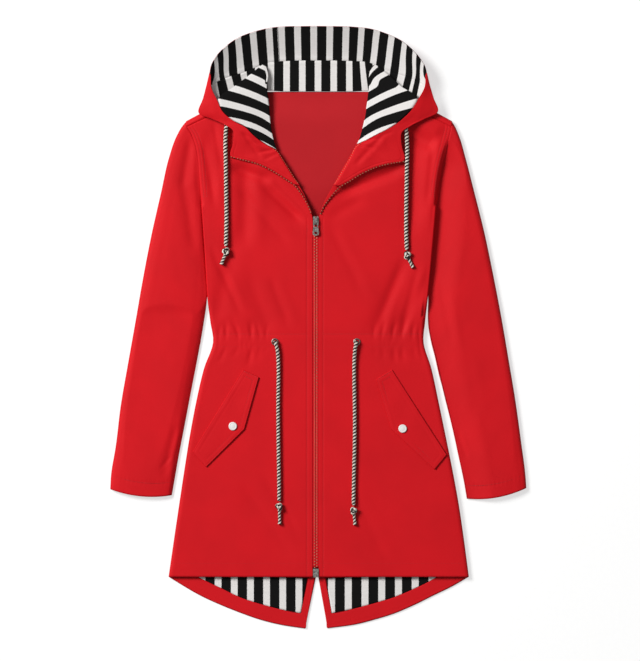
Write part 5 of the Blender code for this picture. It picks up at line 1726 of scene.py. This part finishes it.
def flap_edges(corners):
    """A flap's two long edges, each as three points."""
    top, shoulder, bend, tip, back = corners
    halfway = between(top, back, 0.52)
    return (shoulder, bend, tip), (top, halfway, back)


def flap_point(corners, share, across):
    near_edge, far_edge = flap_edges(corners)
    place = share * 2
    low = min(int(place), 1)
    near = between(near_edge[low], near_edge[low + 1], place - low)
    far = between(far_edge[low], far_edge[low + 1], place - low)
    return between(near, far, across)


def edge_distance(point, corners):
    """Distance from a point to the outline of a flap."""
    best = 999
    for a, b in zip(corners, corners[1:] + corners[:1]):
        run = (b[0] - a[0], b[1] - a[1])
        t = ((point[0] - a[0]) * run[0] + (point[1] - a[1]) * run[1]) / (run[0] ** 2 + run[1] ** 2)
        t = min(max(t, 0), 1)
        best = min(best, math.dist(point, (a[0] + t * run[0], a[1] + t * run[1])))
    return best


def flap_top(x, y, share, across, corners):
    """Height of a flap: it lies on the front, a little free towards its point."""
    free = max(1 - across, share) ** 2
    inset = edge_distance((x, y), corners)
    soft = 0.5 * uneven(x * 0.03, y * 0.03, 16) * smoothstep(inset / 8)
    height = front_height(x, y) + REST + CLOTH + 0.8 * free + 0.5 + soft
    height -= groove(inset - FLAP_EDGE_STITCH) + 0.6 * groove(inset - FLAP_FAR_STITCH)
    return height - 0.7 * (1 - rounded(inset / 1.4))


def flap_piece(name, node, corners, outer, inner_cloth):
    grid = []
    for share in edge_bunched(92):
        line = []
        for across in edge_bunched(34):
            x, y = flap_point(corners, share, across)
            line.append((x, y, flap_top(x, y, share, across, corners)))
        grid.append(line)
    sheet_piece(name, node, grid, flat_sizes(grid), CLOTH, outer, inner_cloth)


def edge_bunched(count):
    """Shares from 0 to 1, closer together near both ends."""
    return [lerp(k / count, 0.5 - 0.5 * math.cos(math.pi * k / count), 0.55) for k in range(count + 1)]


# ---- studs and eyelets

def lathe(name, node, centre, profile, sides, material):
    """Solid of revolution about an upright axis; a profile row is radius, height."""
    points = []
    for radius, height in profile:
        for k in range(sides):
            angle = 2 * math.pi * k / sides
            points.append((centre[0] + radius * math.cos(angle), centre[1] + radius * math.sin(angle),
                           height))
    rows = len(profile)
    faces = tube_walls(0, rows, sides)
    if profile[0] != profile[-1]:
        faces.append(tuple(range(sides))[::-1])
        faces.append(tuple((rows - 1) * sides + k for k in range(sides)))
    made = add_piece(name, points, faces, [material])
    weld = made.modifiers.new("weld", "WELD")
    weld.merge_threshold = 0.00001
    finish_piece(made, node)


def make_stud(name, node, centre, material):
    base = front_height(*centre) + REST + CLOTH + 1.5
    half = SNAP_D / 2
    profile = [(0.01, base), (half - 0.8, base), (half - 0.1, base + 0.35), (half, base + 0.8)]
    for k in range(1, 8):
        angle = math.pi / 2 * k / 8
        profile.append((half - 1.3 + 1.3 * math.cos(angle), base + 0.8 + 1.3 * math.sin(angle)))
    profile += [(half - 2, base + 2.15), (half - 2.4, base + 1.95), (half - 3, base + 2),
                (3, base + 2.25), (1.5, base + 2.32), (0.01, base + 2.34)]
    lathe(name, node, centre, profile, 56, material)


def make_eyelet(name, node, centre, material):
    base = front_height(*centre) + 0.9
    ring = [(4.9 + 1.05 * math.cos(a), base + 0.65 + 0.65 * math.sin(a))
            for a in [2 * math.pi * k / 14 for k in range(15)]]
    lathe(name, node, centre, ring, 40, material)


# ---- zip

TOOTH_PITCH = 5        # from tooth to tooth, coarse enough to be told apart from afar
CHAIN_FOOT = -398      # ends of the closed part of the zip
CHAIN_TOP = 171
TAPE = 0.9               # zip tape, as a wall
TOOTH_OUT = (-1.95, 1.75)    # how far each column of teeth stands from the middle of the zip


def box_teeth(name, places, size, material):
    """Moulded teeth: small rounded blocks at given places, each x, y, z and a turn."""
    width, length, height = size
    points, faces = [], []
    shape = [(-0.5, -0.36), (-0.36, -0.5), (0.36, -0.5), (0.5, -0.36), (0.5, 0.36), (0.36, 0.5),
             (-0.36, 0.5), (-0.5, 0.36)]
    for x, y, z, turn in places:
        base = len(points)
        c, s = math.cos(turn), math.sin(turn)
        for level, shrink in ((0, 1), (0.62, 1), (1, 0.70)):
            for px, py in shape:
                dx, dy = px * width * shrink, py * length * shrink
                points.append((x + dx * c - dy * s, y + dx * s + dy * c, z + level * height))
        faces += tube_walls(base, 3, 8)
        faces.append(tuple(base + 16 + k for k in range(8)))
        faces.append(tuple(base + 7 - k for k in range(8)))
    made = add_piece(name, points, faces, [material])
    made.data.set_sharp_from_angle(angle=math.radians(40))
    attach(made, "garment")
    return made


def zip_height(y):
    return table_at(LOFT, y, 1)


def tape_piece(name, node, x0, x1, drop, material):
    """Closed part of a zip tape, from the hem to the slider."""
    grid = []
    for y in spread(CHAIN_FOOT, CHAIN_TOP, 4):
        line = []
        for k in range(13):
            x = lerp(x0, x1, k / 12)
            hidden = smoothstep((abs(x - ZIP_X) - 4.4) / 1.6)
            line.append((x, y, zip_height(y) - lerp(0.5, drop, hidden) + 0.12 * math.sin(y * 0.7)))
        grid.append(line)
    flats = [[(x, y) for x, y, z in row] for row in grid]
    sheet_piece(name, node, grid, flats, TAPE, material, material)


def half_edge(table, end):
    """Line of an open zip half: a facing's outer edge from the lapel's corner, and on to the slider."""
    edge = [row[3:6] for row in table[LAPEL_CORNER:]] + list(end)
    edge[0] = between(edge[0], edge[1], 0.03)
    return smooth_line(edge, [max(2, round(math.dist(a, b) / 1.2)) for a, b in zip(edge, edge[1:])])


def outward_of(line, k):
    """Unit vector across a zip half, towards the side away from its facing."""
    before, after = line[max(k - 2, 0)], line[min(k + 2, len(line) - 1)]
    run_x, run_y = after[0] - before[0], after[1] - before[1]
    length = math.hypot(run_x, run_y)
    return math.copysign(run_y / length, line[k][0]), -abs(run_x) / length, math.atan2(run_y, run_x)


def zip_half(name, node, table, end, kit):
    """Tape edge of an open zip half with its row of teeth, along the lapel down to the slider."""
    line = half_edge(table, end)
    grid, places = [], []
    run, wanted = 0, 1
    for k, (x, y, z) in enumerate(line):
        out_x, out_y, turn = outward_of(line, k)
        grid.append([(x + d * out_x, y + d * out_y, z - 0.2 - 0.6 * (d - 0.4))
                     for d in (0.4, 1, 1.6, 2.2, 2.8)])
        if k:
            run += math.dist(line[k - 1], (x, y, z))
        if run >= wanted:
            wanted += TOOTH_PITCH
            places.append((x + 1.5 * out_x, y + 1.5 * out_y, z - 1, turn))
    # the tape's darker red is painted shade
    sheet_piece(name + "_tape", node, grid, flat_sizes(grid), CLOTH, kit["edge_tape_painted_shade"],
                kit["edge_tape_painted_shade"])
    # dim tooth metal: painted shade
    box_teeth(name + "_teeth", places, (1.6, 1.8, 1.6), kit["half_teeth_painted_shade"])


def make_chain(kit):
    """Both columns of teeth of the closed zip, one standing half a pitch above the other."""
    places = []
    for k in range(int((CHAIN_TOP - CHAIN_FOOT) / (TOOTH_PITCH / 2))):
        y = CHAIN_FOOT + k * TOOTH_PITCH / 2
        places.append((ZIP_X + TOOTH_OUT[k % 2], y, zip_height(y) - 1.4, 0))
    teeth = box_teeth("zip_chain_teeth", places, (1.7, 1.8, 1.9), kit["teeth"])
    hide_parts("zip_chain")


def keep_node(name, material):
    """A CAD node whose shape is right gets its finished metal and softened edges."""
    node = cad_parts[name]
    node.data.materials.clear()
    node.data.materials.append(material)
    round_off = node.modifiers.new("edges", "BEVEL")
    round_off.width = 0.00035
    round_off.segments = 3
    round_off.limit_method = "ANGLE"
    round_off.angle_limit = math.radians(35)


# ---- stitches

STITCH = (2.3, 0.8, 0.30)         # length, gap and radius of the red stitches
EDGE_STITCH = (1.9, 2.2, 0.55)    # and of the pale ones beside the open zip


def stitch_row(name, line, length, gap, radius, material, seed, lift=0.25):
    """A row of stitches that follows a line of points: short raised spindles with gaps between."""
    rng = random.Random(seed)
    runs = running_length(line)
    points, faces = [], []
    sides = 5
    at, index = gap, 0
    while at + length < runs[-1]:
        ends = []
        for wanted in (at, at + length * rng.uniform(0.92, 1)):
            while index < len(runs) - 2 and runs[index + 1] < wanted:
                index += 1
            t = (wanted - runs[index]) / max(runs[index + 1] - runs[index], 1e-6)
            ends.append(Vector(between(line[index], line[index + 1], t)))
        ahead = (ends[1] - ends[0]).normalized()
        side = Vector((-ahead.y, ahead.x, 0)).normalized()
        up = Vector((0, 0, 1))
        base = len(points)
        for share, size, rise in ((0, 0.45, -0.15), (0.5, 1, lift), (1, 0.45, -0.15)):
            centre = ends[0].lerp(ends[1], share) + up * rise
            for k in range(sides):
                angle = 2 * math.pi * k / sides
                points.append(tuple(centre + radius * size * (math.cos(angle) * side
                                                              + math.sin(angle) * up)))
        faces += tube_walls(base, 3, sides)
        at += length + gap
        index = max(index - 2, 0)
    made = add_piece(name, points, faces, [material])
    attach(made, "garment")


def front_lines():
    """Lines of stitches on the fronts: name, points."""
    lines = []
    for side, label in SIDES:
        sign, from_edge = SIGN[side], ZIP_STITCH[side - 1]
        inner = abs(table_at(FRONT_INNER, HEM_STITCH_Y, side))
        line = [(table_at(FRONT_INNER, y, side) + sign * from_edge, y)
                for y in spread(HEM_Y + 1.5, 172, 3)]
        lines.append(("zip_stitches_" + label, line))
        reach = spread(inner + 1, abs(outer_x(HEM_STITCH_Y, side)) - 1.5, 3)
        lines.append(("hem_stitches_" + label, [(sign * d, HEM_STITCH_Y) for d in reach]))
        for k, y in enumerate(CHANNEL_STITCHES):
            reach = spread(inner + from_edge, abs(outer_x(y, side)) - 1.5, 2.2)
            lines.append(("waist_stitches_" + label + str(k), [(sign * d, y) for d in reach]))
        for k, inset in enumerate(ARMHOLE_STITCHES):
            rows = spread(ARMHOLE[0][0] + 12, 333, 2.5)
            line = [(outer_x(y, side) - sign * inset, y) for y in rows]
            lines.append(("armhole_stitches_" + label + str(k), line))
    return [(name, [(x, y, front_top(x, y)) for x, y in line]) for name, line in lines]


def make_stitches(kit):
    for k, (name, line) in enumerate(front_lines()):
        stitch_row(name, line, *STITCH, kit["thread"], 40 + k)
    for side, table in ((1, SLEEVE_RIGHT), (2, SLEEVE_LEFT)):
        edges = [(table[0][k:k + 2], table[2][k:k + 2]) for k in (0, 2)]
        inner, outer = (between(a, b, CUFF_STITCH / math.dist(a, b)) for a, b in edges)
        line = []
        for k in range(61):
            t = lerp(0.03, 0.97, k / 60)
            x = lerp(inner[0], outer[0], t)
            y = lerp(inner[1], outer[1], t) - cuff_bow(x, (inner, outer))
            height = min(SLEEVE_TOP * ring_height(t), inner_roll(side, abs(x - inner[0]), y))
            line.append((x, y, height - 0.1))
        stitch_row("cuff_stitches_" + str(side), line, *STITCH, kit["thread"], 80 + side)
    for label, table in (("right", FACING_RIGHT), ("left", FACING_LEFT)):
        line = neck_edge_line(table[LAPEL_CORNER:])
        stitch_row("neck_edge_stitches_" + label, line, *EDGE_STITCH, kit["gold_thread"], 97)
    for label, corners in (("right", FLAP_RIGHT), ("left", FLAP_LEFT)):
        for k, inset in enumerate((FLAP_EDGE_STITCH, FLAP_FAR_STITCH)):
            line = flap_outline(corners, inset)
            stitch_row("flap_stitches_" + label + str(k), line, *STITCH, kit["thread"], 90 + k)


NECK_EDGE_STITCH = 0.9   # in from the fold that runs down to the slider


def neck_edge_line(rows):
    """Line just outside the fold of a turned-out facing, from its corner down to the slider."""
    steps = [8] * (len(rows) - 1)
    inner, outer = (smooth_line([row[k:k + 3] for row in rows], steps) for k in (0, 3))
    line = []
    for k, (a, b) in enumerate(zip(inner, outer)):
        low = min(k // 8, len(rows) - 2)
        lip = lerp(rows[low][6], rows[low + 1][6], k / 8 - low)
        share = NECK_EDGE_STITCH / math.dist(a[:2], b[:2])
        x, y, z = between(a, b, share)
        line.append((x, y, z - lip_drop(NECK_EDGE_STITCH) * lip * (a[2] - LIP_FOOT)))
    return line


def ring_height(share):
    """Height of a sleeve's top over its own height at a share of the width."""
    top = SLEEVE_RING[1:11]
    for (a, low), (b, high) in zip(top, top[1:]):
        if share <= b:
            return lerp(low, high, (share - a) / (b - a))
    return top[-1][1]


def flap_outline(corners, inset):
    """Line a distance inside the free edges of a flap."""
    centre = tuple(sum(c[k] for c in corners) / 5 for k in (0, 1))
    line = []
    for a, b in zip(corners, corners[1:]):
        for t in [j / 30 for j in range(30)]:
            x, y = lerp(a[0], b[0], t), lerp(a[1], b[1], t)
            run = (b[0] - a[0], b[1] - a[1])
            size = math.hypot(*run)
            side = (-run[1] / size, run[0] / size)
            if side[0] * (centre[0] - x) + side[1] * (centre[1] - y) < 0:
                side = (-side[0], -side[1])
            px, py = x + side[0] * inset, y + side[1] * inset
            if edge_distance((px, py), corners) > inset - 0.3:
                height = front_height(px, py) + REST + CLOTH + 1 - 0.3
                line.append((px, py, height))
    return line


# ---- room

KEY_SIZE = 2.6                     # its width, in metres
KEY_POWER = 495
SKY = 0.25                         # strength of the even light from all around
PAPER_GLOW = 0.62                  # strength of the floor's own light
FLOOR_Z = -0.0002                  # the floor's sheet, in metres
KEY_AT = (-4.00, 2.55, 4.25)       # the key light, in metres; it looks at the garment


def make_room():
    world = bpy.data.worlds.new("soft_sky")
    bpy.context.scene.world = world
    world.use_nodes = True
    background = world.node_tree.nodes["Background"]
    background.inputs[0].default_value = (1, 1, 1, 1)
    background.inputs[1].default_value = SKY
    data = bpy.data.lights.new("key", "AREA")
    data.shape = "DISK"
    data.size = KEY_SIZE
    data.energy = KEY_POWER
    data.color = (1, 0.995, 0.985)
    light = bpy.data.objects.new("key", data)
    bpy.context.collection.objects.link(light)
    light.location = KEY_AT
    light.rotation_euler = Vector(KEY_AT).to_track_quat("Z", "Y").to_euler()
    floor_data = bpy.data.meshes.new("floor")
    half = 6
    floor_data.from_pydata([(-half, -half, 0), (half, -half, 0), (half, half, 0),
                            (-half, half, 0)], [], [(0, 1, 2, 3)])
    floor = bpy.data.objects.new("floor", floor_data)
    bpy.context.collection.objects.link(floor)
    floor.location.z = FLOOR_Z
    paper, tree, shader = new_material("lit_paper", (0.62, 0.62, 0.62), 0.9)
    grain = noise_node(tree, object_place(tree), 160, 3)
    tree.links.new(mix_colours(tree, grain, (0.44, 0.44, 0.44), (0.40, 0.40, 0.40)),
                   shader.inputs["Base Color"])
    shader.inputs["Emission Color"].default_value = (1, 1, 1, 1)
    shader.inputs["Emission Strength"].default_value = PAPER_GLOW
    floor.visible_diffuse = False
    shader.inputs["Specular IOR Level"].default_value = 0.1
    floor_data.materials.append(paper)
    scene = bpy.context.scene
    scene.view_settings.view_transform = "Standard"
    scene.view_settings.exposure = 0


# ---- the whole garment

def main():
    make_camera()
    kit = make_materials()
    make_cords(kit["braid"])
    shell, inside = kit["shell"], kit["inside"]
    front_piece("front_right", 1, SHOULDER_RIGHT, shell, inside)
    front_piece("front_left", 2, SHOULDER_LEFT, shell, inside)
    make_back(shell, inside)
    sleeve_piece("sleeve_right", 1, SLEEVE_RIGHT, SLEEVE_CREASES_RIGHT, shell, inside)
    sleeve_piece("sleeve_left", 2, SLEEVE_LEFT, SLEEVE_CREASES_LEFT, shell, inside)
    make_hood(kit)
    facing_piece("facing_cloth_right", "facing_right", FACING_RIGHT, PUCKERS_RIGHT, shell, inside)
    facing_piece("facing_cloth_left", "facing_left", FACING_LEFT, PUCKERS_LEFT, shell, inside)
    tail_pieces("right", TAIL_RIGHT, VENT_RIGHT, kit)
    tail_pieces("left", TAIL_LEFT, VENT_LEFT, kit)
    flap_piece("flap_cloth_right", "pocket_flap_right", FLAP_RIGHT, shell, inside)
    flap_piece("flap_cloth_left", "pocket_flap_left", FLAP_LEFT, shell, inside)
    make_stud("stud_right", "snap_right", SNAP_RIGHT, kit["stud"])
    make_stud("stud_left", "snap_left", SNAP_LEFT, kit["stud"])
    make_eyelet("eyelet_ring_right", "eyelet_right", EYELET_RIGHT, kit["eyelet"])
    make_eyelet("eyelet_ring_left", "eyelet_left", EYELET_LEFT, kit["eyelet"])
    tape_piece("zip_tape_cloth_right", "zip_tape_right", -16, ZIP_X - 0.1, CLOTH + REST, kit["tape"])
    tape_piece("zip_tape_cloth_left", "zip_tape_left", ZIP_X + 0.1, 7.8, CLOTH + REST, kit["tape"])
    make_chain(kit)
    zip_half("zip_half_edge_right", "zip_half_right", FACING_RIGHT, ZIP_HALF_END_RIGHT, kit)
    zip_half("zip_half_edge_left", "zip_half_left", FACING_LEFT, ZIP_HALF_END_LEFT, kit)
    for name in ("zip_slider", "zip_pull", "zip_box"):
        keep_node(name, kit["slider"])
    make_stitches(kit)
    make_room()


main()
